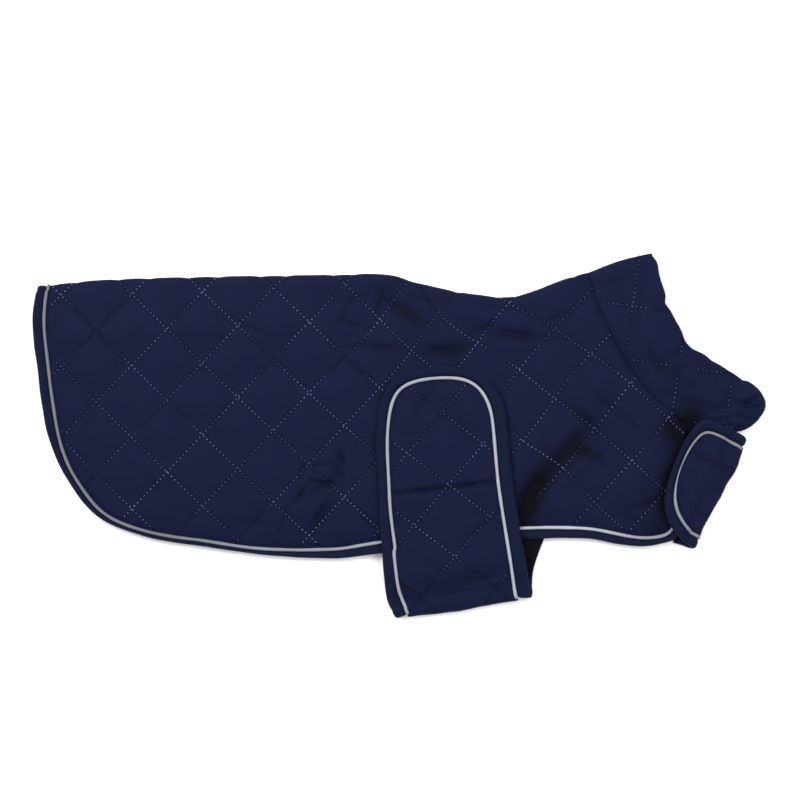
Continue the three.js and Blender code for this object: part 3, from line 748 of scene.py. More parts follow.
def panel_layers(sizes):
    """The back panel's two layers and the fold along the back."""
    seam_edge = extend(offset_path(NECK_LINE, -0.02), PAST_END)
    fold_edge = extend(offset_path(SPINE_LINE, -FOLD_DEPTH), PAST_END)
    step = sizes.cloth_step / MM
    back_count = round(runs_along(SPINE_LINE)[-1] / step)

    def cut(widths):
        hem_edge = extend(offset_path(HEM_LINE, widths + CUT_GAP), PAST_END)
        return join_ring([
            resample(stretch(hem_edge, fold_edge, seam_edge), step),
            resample(stretch(seam_edge[::-1], hem_edge[::-1], fold_edge), step),
            resample(stretch(fold_edge[::-1], seam_edge, hem_edge), count=back_count),
        ])

    near_ring, (near_hem, near_seam, near_back) = cut(hem_trim(HEM_LINE))
    far_ring, (far_hem, far_seam, far_back) = cut(BINDING_WIDTH)
    spine = extend(SPINE_LINE, PAST_END)[::-1]
    end_edge = extend(offset_path(HEM_LINE, BINDING_WIDTH + CUT_GAP), PAST_END)
    spine = resample(stretch(spine, seam_edge, end_edge), count=back_count)
    puff = sizes.puff / MM

    def near_outer(points):
        away = distance_to_path(points, HEM_LINE)
        seam_away = distance_to_path(points, NECK_LINE)
        edge = quilting_share(np.minimum(away - hem_trim(points) - PIPING_WIDTH, seam_away))
        puffed = puff * pillow(quilt_place(points, BODY_QUILT)) * edge
        full = near_face(points) + puffed + 0.22 * ripple(points, 26, 5) * edge
        full = full - SEAM_DIP * (1 - fade(seam_away, SEAM_REACH)) ** 1.5
        return under_piping(full, near_inner(points), away, hem_trim(points))

    def far_outer(points):
        away = distance_to_path(points, HEM_LINE)
        seam_away = distance_to_path(points, NECK_LINE)
        pad = sizes.underside_puff / MM * (1 - flat_pad(unfolded(points), BODY_QUILT))
        pad = np.maximum(pad, FAR_SEAM_DIP * (1 - fade(seam_away, FAR_SEAM_REACH)))
        return UNDER_LAYER - under_piping(UNDER_LAYER - pad, 0, away, BINDING_WIDTH)

    near = {"ring": near_ring, "outer": near_outer, "inner": near_inner, "cloth": np.array,
            "rims": [(near_hem + near_seam[1:], 0.01)]}
    far = {"ring": far_ring, "outer": far_outer, "inner": lambda p: np.full(len(p), UNDER_LAYER),
           "cloth": unfolded, "rims": [(far_hem + far_seam[1:], 0.01)]}
    out = spine - near_ring[near_back]
    dip = fold_dip(BODY_QUILT, 0.13)
    return near, far, [{"numbers": (near_back, far_back), "outer": lambda worn: out * dip(worn),
                        "inner": out * 0.5}]


def collar_layers(sizes):
    """The collar's two layers, and its folds at the back of the neck and at the throat."""
    step = sizes.cloth_step / MM
    seam_edge = extend(offset_path(NECK_LINE, 0.02), PAST_END)
    back_edge = extend(offset_path(BACK_LINE, -FOLD_DEPTH), PAST_END)
    runs = runs_along(THROAT_LINE)
    depth = 1.6 + (FOLD_DEPTH - 1.6) * fade(runs, 20) * fade(runs[-1] - runs, 22)
    throat_edge = extend(offset_path(THROAT_LINE, -depth), PAST_END)[:0:-1]
    opening = extend(offset_path(OPENING_LINE, -1.5), PAST_END)[:-1][::-1]
    first, throat_start = crossing(throat_edge, seam_edge)
    throat = np.vstack([throat_start, throat_edge[first + 1:]])
    last, meeting = crossing(opening, back_edge)
    ring, (seam, front, mouth, back) = join_ring([
        resample(stretch(seam_edge, back_edge, throat_edge), step),
        resample(throat, step),
        resample(np.vstack([throat[-1], opening[:last + 1], meeting]), step),
        resample(stretch(back_edge[::-1], opening, seam_edge), step),
    ])
    neck_back = extend(BACK_LINE, 3)[::-1]
    neck_end, neck_corner = crossing(neck_back, seam_edge)
    neck_back = resample(np.vstack([neck_back[:neck_end + 1], neck_corner]), count=len(back))
    throat_line = resample(THROAT_LINE[::-1], count=len(front))
    puff = sizes.puff / MM

    def near_outer(points):
        seam_away = distance_to_path(points, NECK_LINE)
        full = near_face(points)
        full += puff * pillow(quilt_place(points, COLLAR_QUILT)) * quilting_share(seam_away)
        full += 1.3 * crease_height(points, GATHERS) + 1.5 * crease_height(points, FINE_GATHERS)
        full += 0.3 * ripple(points, 22, 9)
        full -= 0.6 * (1 - fade(seam_away, FAR_SEAM_REACH))
        return np.maximum(full, near_inner(points) + 1.4)

    def far_outer(points):
        seam_away = distance_to_path(points, NECK_LINE)
        pad = sizes.underside_puff / MM * (1 - flat_pad(unfolded(points), COLLAR_QUILT))
        return np.maximum(pad, FAR_SEAM_DIP * (1 - fade(seam_away, FAR_SEAM_REACH)))

    runs = np.arange(len(mouth)) * step
    lip = 1.5 + 0.25 * np.sin(runs / 2.6) * np.sin(runs / 17) + 0.12 * np.sin(runs / 8.3 + 1)
    rims = [(seam, 0.0), (mouth, lip[:, None])]
    near = {"ring": ring, "outer": near_outer, "inner": near_inner, "cloth": np.array, "rims": rims}
    far = {"ring": ring, "outer": far_outer, "inner": lambda p: np.full(len(p), UNDER_LAYER),
           "cloth": unfolded, "rims": rims}
    back_out = neck_back - ring[back]
    front_out = throat_line - ring[front]
    dip = fold_dip(COLLAR_QUILT, 0.1)
    return near, far, [
        {"numbers": (back, back), "outer": lambda worn: back_out * dip(worn), "inner": back_out * 0.5},
        {"numbers": (front, front), "outer": lambda worn: front_out * dip(worn), "inner": front_out * 0.5},
    ]


class Strap:
    """A strap that comes from the far side's hem, turns up over a fold and lies on the near side."""

    def __init__(self, table, sizes):
        turn = math.radians(table["turn"])
        self.table = table
        self.sizes = sizes
        self.across = np.array([math.cos(turn), math.sin(turn)])
        self.along = np.array([-math.sin(turn), math.cos(turn)])
        self.root = np.array(table["root"], float)
        self.upper = smooth_path(self.place(table["upper"]), LINE_STEP)
        self.right = smooth_path(self.place(table["lower_right"]), LINE_STEP)
        self.left = smooth_path(self.place(table["lower_left"]), LINE_STEP)
        self.fold_centre = (FOLD_INNER + TRIM_HEIGHT) / 2
        self.widths = np.interp(np.linspace(0, 1, len(self.upper)), *zip(*table["trim"]))
        self.right_trim, self.left_trim = self.widths[[0, -1]]
        self.seam_line = inset(self.upper, self.widths + PIPING_WIDTH + 2 * TRIM_SETBACK)

    def place(self, rows):
        rows = np.asarray(rows, float)
        return self.root + rows[:, :1] * self.across + rows[:, 1:] * self.along

    def run(self, points):
        return (points - self.root) @ self.along

    def bulge(self, points):
        """How far the fold sags out past its line."""
        return np.interp((points - self.root) @ self.across, *zip(*self.table["bulge"]))

    def reveal(self, points):
        """Where the root's lining reaches out over its binding, past the fold."""
        return fade(self.run(points) - 6, 8)

    def inner(self, points):
        over = fade(self.run(points) - STRAP_RISE, self.table["fold_reach"] - STRAP_RISE)
        cover = near_cover(points, self.sizes.puff / MM)
        return FOLD_INNER * (1 - over) + cover * over

    def outer(self, points):
        table = self.table
        away = distance_to_path(points, self.seam_line)
        edge = quilting_share(away)
        puff = self.sizes.strap_puff / MM * pillow(quilt_place(points, table["quilt"])) * edge
        base = self.inner(points)
        full = base + STRAP_WALL + puff * fade(self.run(points), STRAP_QUILT_START)
        full += 1.3 * crease_height(points, table["creases"])
        full += 1.9 * crease_height(points, table["fine_creases"])
        full += 0.2 * ripple(points, 20, 3) * edge
        hidden = base + HIDDEN_WALL
        return np.maximum(base + 1.2, hidden + (full - hidden) * fade(away - 0.2, 2.2))

    def cloth_below(self, points):
        """Cloth places of the root, opened out about the fold."""
        return points - 2 * np.outer(self.run(points), self.along)

    def layers(self):
        table = self.table
        step = self.sizes.cloth_step / MM
        fold_line = self.place([(-90, self.fold_centre), (90, self.fold_centre)])
        seam = inset(self.upper, self.widths + CUT_GAP)
        seam = np.vstack([seam[0] - PAST_END * self.along, seam, seam[-1] - PAST_END * self.along])
        start, first = crossing(seam, fold_line)
        end, last = crossing(seam[::-1], fold_line)
        flap = np.vstack([first, seam[start + 1:len(seam) - 1 - end], last])
        turn_count = max(8, round(math.dist(first, last) / step))
        ring, (flap_edge, fold_edge) = join_ring([
            resample(flap, step), resample(np.array([last, first]), count=turn_count)])
        right_shown, left_shown = self.reveal(self.right), self.reveal(self.left)
        right = inset(self.right, (self.right_trim + CUT_GAP) * (1 - right_shown) + right_shown)
        left = inset(self.left, -(self.left_trim + CUT_GAP) * (1 - left_shown) - left_shown)
        right, left = extend(right, 4), extend(left, 4)
        coat_edge = coat_outline(0.3)
        right_start, right_foot = crossing(right, fold_line)
        left_start, left_foot = crossing(left, fold_line)
        right = np.vstack([right_foot, right[right_start + 1:]])
        left = np.vstack([left_foot, left[left_start + 1:]])
        right_end, right_top = crossing(right, coat_edge)
        left_end, left_top = crossing(left, coat_edge)
        hem_right, _ = crossing(coat_edge, right)
        hem_left, _ = crossing(coat_edge, left)
        root, (below, right_side, top_side, left_side) = join_ring([
            resample(np.array([left_foot, right_foot]), count=turn_count),
            resample(np.vstack([right[:right_end + 1], right_top]), step),
            resample(np.vstack([right_top, coat_edge[hem_left + 1:hem_right + 1][::-1], left_top]), step),
            resample(np.vstack([left_top, left[:left_end + 1][::-1]]), step),
        ])

        def root_outer(points):
            pad = self.sizes.underside_puff / MM * (1 - flat_pad(self.cloth_below(points), table["quilt"]))
            right_away = distance_to_path(points, self.right) - self.right_trim
            left_away = distance_to_path(points, self.left) - self.left_trim
            away = np.minimum(right_away, left_away)
            return UNDER_LAYER - under_piping(UNDER_LAYER - pad, 0, away, 0)

        near = {"ring": ring, "outer": self.outer, "inner": self.inner, "cloth": np.array,
                "rims": [(flap_edge, 0.02)]}
        rest = right_side + top_side[1:] + left_side[1:]
        far = {"ring": root, "outer": root_outer, "inner": lambda p: np.full(len(p), UNDER_LAYER),
               "cloth": self.cloth_below, "rims": [(rest, 0.02)]}
        places = np.linspace(0, 1, len(fold_edge))[:, None]
        slack = 0.35 * np.sin(places * 11 + 1) + 0.25 * np.sin(places * 23)
        out = np.tile(-self.along, (len(fold_edge), 1))
        bulge = self.bulge(ring[fold_edge])[:, None] - slack * np.sin(places * math.pi)
        folds = [{"numbers": (fold_edge, below), "outer": out * (self.fold_centre + bulge),
                  "inner": out * (1.1 + bulge)}]
        return near, far, folds


# Bindings and pipings


def edge_frames(path, side, face, heights, widths):
    """Places along one layer's edge: face is 1 where its outer side looks up, -1 where it looks down."""
    zeros = np.zeros(len(path))
    widths = zeros + widths
    cord = inset(path, side * (widths + CORD_PLACE), 12)
    return {
        "point": np.column_stack([path, heights]),
        "inward": np.column_stack([(inset(path, side * widths) - path) / widths[:, None], zeros]),
        "cord": np.column_stack([cord - path, zeros]),
        "cord_side": np.column_stack([soft_normals(cord) * side, zeros]),
        "outward": np.column_stack([zeros, zeros, zeros + face]),
        "width": widths[:, None],
        "base": zeros[:, None],
        "slim": zeros[:, None] + 1,
    }


def turn_frames(high, low, out, steps=12):
    """Places round a fold, from a place on its upper layer to the one below it."""
    share = np.arange(1, steps)[:, None] / steps
    frames = {name: high[name] * (1 - share) + low[name] * share for name in high}
    angle = math.pi * (0.5 - share[:, 0])
    outward = np.column_stack([out[0] * np.cos(angle), out[1] * np.cos(angle), np.sin(angle)])
    frames["point"][:, 2] = (high["point"][2] + low["point"][2]) / 2
    frames["point"] += outward * (high["point"][2] - low["point"][2]) / 2
    frames["outward"] = outward
    return frames


def chosen(frames, rows):
    """One of the places, or some of them."""
    return {name: values[rows] for name, values in frames.items()}


def backwards(frames):
    return chosen(frames, slice(None, None, -1))


def joined(parts):
    return {name: np.concatenate([part[name] for part in parts]) for name in parts[0]}


def turn_level(frames, level, turned):
    """Turns a trim square to a fold's own line where it comes to the fold."""
    for name, length in (("inward", 1), ("cord", frames["width"] + CORD_PLACE), ("cord_side", 1)):
        frames[name] = frames[name] * turned + level * length * (1 - turned)


def hem_frames():
    start = SPINE_LINE[0] - (0, TRIM_HEIGHT)
    path = np.vstack([start, HEM_LINE[HEM_LINE[:, 1] < start[1] - 1]])
    near = edge_frames(path, 1, 1, UNDER_LAYER + LAYER_GAP + 0 * path[:, 0], hem_trim(path))
    far = edge_frames(path, 1, -1, UNDER_LAYER + 0 * path[:, 0], BINDING_WIDTH)
    level = SPINE_LINE[3] - SPINE_LINE[0]
    level = np.array([*level, 0]) / np.linalg.norm(level)
    turned = fade(np.linalg.norm(path - path[0], axis=1), 16)[:, None]
    for frames in (near, far):
        turn_level(frames, level, turned)
    fold = turn_frames(chosen(near, 0), chosen(far, 0), (0, 1))
    return joined([backwards(near), fold, far])


def strap_frames(strap):
    table = strap.table
    past = strap.fold_centre + 0.5
    coat = np.vstack([coat_outline(0.5), [(0, 400)]])

    def level_ends(frames):
        plan = frames["point"][:, :2]
        level = np.append(strap.across, 0) * -np.sign((plan - strap.root) @ strap.across)[:, None]
        turn_level(frames, level, fade(strap.run(plan), 14)[:, None])

    def lower(path, side, width):
        frames = edge_frames(path, side, -1, UNDER_LAYER + 0 * path[:, 0], width)
        frames["base"] = 1.9 * strap.reveal(path)[:, None]
        level_ends(frames)
        return chosen(frames, (strap.run(path) > past) & ~inside(path, coat))

    def at_fold(frames, index):
        row = chosen(frames, index)
        short = strap.run(row["point"][:2]) - strap.fold_centre + strap.bulge(row["point"][:2])
        row["point"] = row["point"] - short * np.append(strap.along, 0)
        return row

    flap = edge_frames(strap.upper, 1, 1, strap.inner(strap.upper), strap.widths)
    flap["slim"] = np.interp(np.linspace(0, 1, len(strap.upper)), *zip(*table["cord"]))[:, None]
    level_ends(flap)
    flap = chosen(flap, strap.run(strap.upper) > past)
    if table["twist"]:
        past_top = np.arange(len(flap["width"])) > len(flap["width"]) / 2
        away = strap.run(flap["point"][:, :2]) - table["twist"]
        shift = 0.6 * np.tanh(away / 1.5) * np.exp(-(away / 15) ** 2) * past_top
        flap["cord"] += flap["cord_side"] * shift[:, None]
    right = lower(strap.right, 1, strap.right_trim)
    left = lower(strap.left, -1, strap.left_trim)
    return joined([
        backwards(right),
        backwards(turn_frames(at_fold(flap, 0), at_fold(right, 0), -strap.along)),
        flap,
        turn_frames(at_fold(flap, -1), at_fold(left, 0), -strap.along),
        left,
    ])


def dense(frames, step):
    """The same places at closer steps."""
    runs = runs_along(frames["point"])
    counts = np.maximum(1, np.ceil(np.diff(runs) / step)).astype(int)
    at = np.concatenate([np.linspace(a, b, n, endpoint=False) for a, b, n in zip(runs, runs[1:], counts)])
    at = np.append(at, runs[-1])
    out = {}
    for name, values in frames.items():
        out[name] = between(at, runs, values)
    for name in ("cord_side", "outward"):
        out[name] /= np.linalg.norm(out[name], axis=1)[:, None]
    out["run"] = at
    return out


def binding_section(frames, index):
    """A soft tape folded over the cloth's edge: places from its edge in."""
    width = frames["width"][index, 0]
    base = frames["base"][index, 0]
    run = frames["run"][index]
    slim = min(1, width / BINDING_WIDTH)
    high = TRIM_HEIGHT * (1 + 0.06 * math.sin(run / 7.3) + 0.05 * math.sin(run / 3.1 + 1))
    edge = (0.22 * math.sin(run / 11.0) + 0.14 * math.sin(run / 4.7 + 2)) * slim
    across, up = np.array([
        (0.9 * slim + edge, 0), (0.35 * slim + edge, 0.35), (edge, 1.1), (edge + 0.1 * slim, high * 0.6),
        (edge + 0.8 * slim, high * 0.88), (edge + 1.9 * slim, high), (width * 0.42, high * 1.0),
        (width * 0.7, high * 0.93), (width - 1.2 * slim, high * 0.84), (width - 0.25, high * 0.66),
        (width + 0.15, high * 0.4), (width + 0.15, 0), (width * 0.55, 0),
    ]).T
    up = base + up * (1 - base / TRIM_HEIGHT)
    return (frames["point"][index] + np.outer(across, frames["inward"][index])
            + np.outer(up, frames["outward"][index]))


def piping_section(frames, index):
    """A round cord in its tape, standing a little proud beside the binding."""
    run = frames["run"][index]
    wide = 2.4 + 0.12 * math.sin(run / 5.9) + 0.08 * math.sin(run / 2.3 + 1)
    high = 3.0 + 0.12 * math.sin(run / 9.1)
    slim = frames["slim"][index, 0]
    half = wide * slim / 2
    high = CORD_FOOT + (high - CORD_FOOT) * slim
    angles = np.linspace(-0.35, math.pi + 0.35, 11)
    places = [(-half * math.cos(angle), high + 1.2 * slim * math.sin(angle)) for angle in angles]
    across, up = np.array([(-half, CORD_FOOT)] + places + [(half, CORD_FOOT), (0, CORD_FOOT)]).T
    return (frames["point"][index] + frames["cord"][index] + np.outer(across, frames["cord_side"][index])
            + np.outer(up, frames["outward"][index]))


def swept(name, frames, section, material):
    """A trim: its section carried along the frames, closed at both ends."""
    frames = dense(frames, TRIM_STEP)
    rings = []
    for index in range(len(frames["run"])):
        ring = section(frames, index)
        ring[:, 2] = np.maximum(ring[:, 2], 0)
        if not rings or np.abs(ring - rings[-1]).max() > 0.2:
            rings.append(ring)
    count = len(rings[0])
    points = np.vstack(rings) * MM
    faces = []
    for row in range(len(rings) - 1):
        for k in range(count):
            a, b = row * count + k, row * count + (k + 1) % count
            faces.append([a, b, b + count, a + count])
    faces.append(list(range(count)))
    faces.append(list(range(len(points) - count, len(points))))
    mesh = bpy.data.meshes.new(name)
    mesh.from_pydata(points.tolist(), [], faces)
    runs = np.repeat(np.arange(len(rings)) * TRIM_STEP, count)
    place = np.tile(np.arange(count) * 1.0, len(rings))
    layer = mesh.attributes.new("cloth", "FLOAT_VECTOR", "POINT")
    layer.data.foreach_set("vector", np.column_stack([runs, place, np.zeros(len(runs))]).ravel())
    return finish_mesh(mesh, name, [material])


# Stitches


def stitch_places(quilt, region, pitch):
    """Evenly spaced places with their headings along both sets of a quilting grid's lines."""
    low, high = region.min(axis=0), region.max(axis=0)
    corners = np.array([low, high, (low[0], high[1]), (high[0], low[1])])
    cells = quilt_place(corners, quilt)
    first, last = np.floor(cells.min(axis=0)) - 2, np.ceil(cells.max(axis=0)) + 2
    places, headings = [], []
    for way, side in ((0, "v"), (1, "u")):
        step = pitch / math.hypot(*quilt[side])
        for line in np.arange(first[way], last[way] + 1):
            other = np.arange(first[1 - way], last[1 - way], step)
            grid = np.empty((len(other), 2))
            grid[:, way], grid[:, 1 - way] = line, other
            path = quilt_point(grid, quilt)
            along = np.gradient(path, axis=0)
            keep = inside(path, region)
            places.append(path[keep])
            headings.append(along[keep] / np.linalg.norm(along[keep], axis=1)[:, None])
    return np.vstack(places), np.vstack(headings)


def stitch_mesh(name, rows, sizes, strength, patch):
    """One bead of thread for each row of place, normal and heading, as a joined mesh with a shade."""
    rng = np.random.default_rng(11)
    plans = np.array([row[0][:2] for row in rows]) / MM
    # Uneven patches of thread brightness, fainter still round FAINT_STITCHES
    worn = ripple(plans, patch, 21)
    for x, y, radius in FAINT_STITCHES:
        worn -= 1.2 * np.exp(-((plans[:, 0] - x) ** 2 + (plans[:, 1] - y) ** 2) / radius**2)
    profile = ((-0.5, 0.0), (-0.34, 0.8), (0.0, 1.0), (0.34, 0.8), (0.5, 0.0))
    points, faces, shades = [], [], []
    for (place, normal, heading, crossed), light in zip(rows, worn):
        side = np.cross(normal, heading)
        length = sizes.stitch_length * rng.uniform(0.82, 1.12)
        width = sizes.stitch_width * rng.uniform(0.85, 1.1)
        heading = heading + side * rng.uniform(-0.12, 0.12)
        start = len(points)
        points.append(place + heading * length * profile[0][0])
        for run, share in profile[1:-1]:
            for k in range(5):
                angle = 2 * math.pi * k / 5
                points.append(place + heading * length * run + side * width / 2 * share * math.cos(angle)
                              + normal * width * 0.42 * share * math.sin(angle))
        points.append(place + heading * length * profile[-1][0])
        end = len(points) - 1
        for k in range(5):
            j = (k + 1) % 5
            faces.append([start, start + 1 + j, start + 1 + k])
            for ring in (0, 1):
                a = start + 1 + ring * 5
                faces.append([a + k, a + j, a + j + 5, a + k + 5])
            faces.append([end, end - 5 + k, end - 5 + j])
        shade = strength * (0.55 + 0.65 * light) * (0.8 + 0.6 * crossed ** 2) * rng.uniform(0.6, 1.3)
        shades.extend([min(1.0, max(0.0, shade))] * (end + 1 - start))
    mesh = bpy.data.meshes.new(name)
    mesh.from_pydata([tuple(p) for p in points], [], faces)
    mesh.attributes.new("shade", "FLOAT", "POINT").data.foreach_set("value", shades)
    return mesh


def stitches_on(piece, quilt, region, face, sizes, cloth):
    """Rows for the stitches on one side of a piece; cloth turns plan places to cloth places, or back."""
    tree = BVHTree.FromObject(piece, bpy.context.evaluated_depsgraph_get())
    places, headings = stitch_places(quilt, cloth(region), sizes.stitch_pitch / MM)
    ahead = cloth(places + headings)
    plans = cloth(places)
    rows = []
    for place, plan, heading in zip(places, plans, ahead - plans):
        start = Vector((plan[0] * MM, plan[1] * MM, 0.1 * face))
        hit, normal, _, _ = tree.ray_cast(start, Vector((0, 0, -face)))
        if hit is None or abs(normal.z) < 0.35:
            continue
        normal = np.array(normal)
        way = np.array([heading[0], heading[1], 0])
        way -= normal * way.dot(normal)
        cell = quilt_place(np.array([place]), quilt)[0]
        crossed = 1 - 2 * np.abs(cell - np.round(cell)).max()
        rows.append((np.array(hit) + normal * STITCH_LIFT, normal, way / np.linalg.norm(way), crossed))
    return rows


# Finishes

WEAVE_DEPTH = 0.00012
PUCKER_REACH = 0.16
GROOVE_SHADE_REACH = 0.06
# Painted reflection of the piping along the coat: stops of place and brightness, then the two ends
PIPING_REFLECTION_STOPS = ((0.3, 0.53), (0.39, 0.56), (0.49, 0.71), (0.64, 0.85), (0.74, 1.0), (0.84, 0.57))
PIPING_REFLECTION_ENDS = ((0.2, 0.37), (0.92, 0.45))


class Finish:
    """A material, and the nodes that feed its shader."""

    def __init__(self, name):
        self.material = bpy.data.materials.new(name)
        self.material.use_nodes = True
        self.tree = self.material.node_tree
        self.tree.nodes.clear()
        self.shader = self.tree.nodes.new("ShaderNodeBsdfPrincipled")
        output = self.tree.nodes.new("ShaderNodeOutputMaterial")
        self.tree.links.new(self.shader.outputs["BSDF"], output.inputs["Surface"])

    def fill(self, sockets, values):
        for key, value in values.items():
            if isinstance(value, bpy.types.NodeSocket):
                self.tree.links.new(value, sockets[key])
            else:
                sockets[key].default_value = value

    def shade(self, values):
        self.fill(self.shader.inputs, values)

    def node(self, kind, values, **settings):
        made = self.tree.nodes.new("ShaderNode" + kind)
        for name, value in settings.items():
            setattr(made, name, value)
        self.fill(made.inputs, values)
        return made

    def attribute(self, name, output):
        return self.node("Attribute", {}, attribute_type="GEOMETRY", attribute_name=name).outputs[output]

    def noise(self, place, scale, detail, roughness=0.5):
        values = {"Vector": place, "Scale": scale, "Detail": detail, "Roughness": roughness}
        return self.node("TexNoise", values).outputs["Fac"]

    def maths(self, operation, first, second, **settings):
        return self.node("Math", {0: first, 1: second}, operation=operation, **settings).outputs[0]

    def remap(self, value, source, target=(0.0, 1.0), **settings):
        ends = zip(("From Min", "From Max", "To Min", "To Max"), source + target)
        return self.node("MapRange", {"Value": value, **dict(ends)}, **settings).outputs[0]

    def blend(self, factor, low, high, blend_type="MIX"):
        colours = [value if isinstance(value, bpy.types.NodeSocket) else (*value, 1) for value in (low, high)]
        values = {0: factor, 6: colours[0], 7: colours[1]}
        return self.node("Mix", values, data_type="RGBA", blend_type=blend_type).outputs[2]

    def bump(self, height, distance, strength, **more):
        values = {"Height": height, "Distance": distance, "Strength": strength, **more}
        return self.node("Bump", values).outputs[0]


def scaled(colour, share):
    return tuple(min(1, channel * share) for channel in colour)


def woven(name, colour, pitch, sheen, roughness, mottle=0.16):
    """Plain woven cloth: its finish, and the colour and bumps that feed it."""
    made = Finish(name)
    cloth = made.attribute("cloth", "Vector")
    wave = {"Vector": cloth, "Scale": 0.314 / pitch, "Distortion": 0.6, "Detail": 1.0}
    warp, weft = (made.node("TexWave", wave, bands_direction=way).outputs["Fac"] for way in "XY")
    weave = made.maths("MULTIPLY", warp, weft)
    cloud = made.noise(cloth, 0.045, 4.0, 0.6)
    grain = made.noise(cloth, 1.1, 3.0)
    tone = made.blend(cloud, scaled(colour, 1 - mottle), scaled(colour, 1 + mottle))
    colour = made.blend(0.4, tone, made.blend(weave, scaled(colour, 0.8), scaled(colour, 1.2)))
    bumps = made.bump(made.maths("ADD", weave, grain), WEAVE_DEPTH, 0.6)
    made.shade({
        "Base Color": colour,
        "Roughness": made.remap(grain, (0.0, 1.0), (roughness - 0.06, roughness + 0.08)),
        "Sheen Weight": sheen,
        "Sheen Roughness": 0.45,
        "Sheen Tint": (0.62, 0.68, 1.0, 1),
        "Specular IOR Level": 0.055,
        "Normal": bumps,
    })
    return made, colour, bumps


def quilted_material(colours):
    """The navy outer cloth: puckers across its stitch lines, painted shade along them and in deep folds."""
    made, colour, bumps = woven("quilted_navy", colours.navy, 0.42, 0.02, 0.62)
    cells = made.node("SeparateXYZ", {"Vector": made.attribute("quilt", "Vector")}).outputs
    puckers, groove_shades = [], []
    for own, other in ("XY", "YX"):
        line = made.maths("PINGPONG", cells[own], 1.0)
        folded = made.maths("PINGPONG", cells[own], 0.5)
        near_line, groove_shade = (
            made.remap(folded, (0.0, reach), (1.0, 0.0), interpolation_type="SMOOTHSTEP")
            for reach in (PUCKER_REACH, GROOVE_SHADE_REACH))
        run = made.node("CombineXYZ", {"X": cells[other], "Y": line}).outputs[0]
        puckers.append(made.maths("MULTIPLY", made.noise(run, 9.0, 2.0), near_line))
        groove_shades.append(groove_shade)
    drift = made.remap(made.noise(made.attribute("cloth", "Vector"), 0.028, 2.0), (0.35, 0.65))
    cast = made.blend(drift, (0.86, 1.0, 1.0), (1.0, 0.9, 1.0))
    # Painted shade in the deep folds and creases, read from the mesh
    painted_fold_shade = made.maths("MULTIPLY", made.attribute("painted_fold_shade", "Fac"), 0.36, use_clamp=True)
    colour = made.blend(1.0, colour, cast, "MULTIPLY")
    # Painted shade in the grooves along the stitch lines
    colour = made.blend(made.maths("MAXIMUM", *groove_shades), colour, (0.62, 0.64, 0.68), "MULTIPLY")
    colour = made.blend(painted_fold_shade, colour, (0.16, 0.12, 0.14), "MULTIPLY")
    pucker = made.bump(made.maths("ADD", *puckers), 0.0012, 0.55, Normal=bumps)
    made.shade({"Base Color": colour, "Normal": pucker})
    return made.material


def binding_material(colours):
    return woven("binding_tape", colours.tape, 0.55, 0.03, 0.68, mottle=0.1)[0].material


def lining_material(colours):
    """Black fleece: no weave, a short nap."""
    made = Finish("fleece_lining")
    nap = made.noise(made.attribute("cloth", "Vector"), 1.6, 5.0)
    made.shade({
        "Base Color": made.blend(nap, scaled(colours.lining, 0.6), scaled(colours.lining, 1.5)),
        "Roughness": 0.95,
        "Specular IOR Level": 0.04,
        "Sheen Weight": 0.015,
        "Sheen Roughness": 0.6,
        "Normal": made.bump(nap, 0.0006, 0.8),
    })
    return made.material


def piping_material(colours):
    """Light grey reflective tape: a fine grain of glass beads, with a painted reflection that is duller towards both
    ends of the coat.
    """
    made = Finish("reflective_tape")
    cloth = made.attribute("cloth", "Vector")
    beads = made.node("TexVoronoi", {"Vector": cloth, "Scale": 3.2}).outputs["Distance"]
    grained = made.blend(beads, scaled(colours.piping, 1.08), scaled(colours.piping, 0.88))
    dull = made.blend(made.noise(cloth, 0.09, 3.0), grained, scaled(colours.piping, 0.86))
    place = made.node("TexCoord", {}).outputs["Object"]
    along = made.node("SeparateXYZ", {"Vector": place}).outputs["X"]
    # Painted reflection: brighter near the middle of the coat, darker towards both ends
    painted_reflection = made.node("ValToRGB", {"Fac": made.remap(along, (-0.28, 0.28))})
    stops = painted_reflection.color_ramp.elements
    for position, share in PIPING_REFLECTION_STOPS:
        stops.new(position).color = (share, share, share, 1)
    for stop, (position, share) in zip((stops[0], stops[-1]), PIPING_REFLECTION_ENDS):
        stop.position = position
        stop.color = (share, share * 0.97, share * 0.96, 1)
    made.shade({
        "Base Color": made.blend(1.0, dull, painted_reflection.outputs["Color"], "MULTIPLY"),
        "Roughness": 0.55,
        "Specular IOR Level": 0.2,
        "Normal": made.bump(beads, 0.00006, 0.5),
    })
    return made.material


def thread_material(colours):
    made = Finish("quilting_thread")
    shade = made.attribute("shade", "Fac")
    made.shade({
        "Base Color": made.blend(shade, tuple(colours.navy), scaled(colours.thread, 1.6)),
        "Roughness": 0.55,
        "Specular IOR Level": 0.1,
    })
    return made.material


def finish(name):
    """A finish by its name, made once."""
    makers = {
        "quilted_navy": quilted_material,
        "binding_tape": binding_material,
        "fleece_lining": lining_material,
        "reflective_tape": piping_material,
        "quilting_thread": thread_material,
    }
    return bpy.data.materials.get(name) or makers[name](bpy.context.scene.coat_colours)


# Operators


def stand_for(node_name):
    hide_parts(node_name)


def declare_sheets():
    """Gathers how each piece of cloth was cut and what is sewn to it; nothing is declared or passed on."""
    below = ["quilted_back_panel"]
    cuts = (
        ("back_panel", (0.41, 0.50), 0.172, [], "hem"),
        ("collar", (0.3, 0.14), 0.0161, [], None),
        ("belly_strap", BELLY_STRAP["flat"], BELLY_STRAP["area"], below, "belly_strap"),
        ("chest_strap", CHEST_STRAP["flat"], CHEST_STRAP["area"], below, "chest_strap"),
    )
    pieces = bpy.data.objects
    for name, flat, area, rests_on, trim in cuts:
        sewn_on = [pieces["stitches_" + name]]
        if trim:
            sewn_on += [pieces[trim + "_tape"], pieces[trim + "_reflective_cord"]]


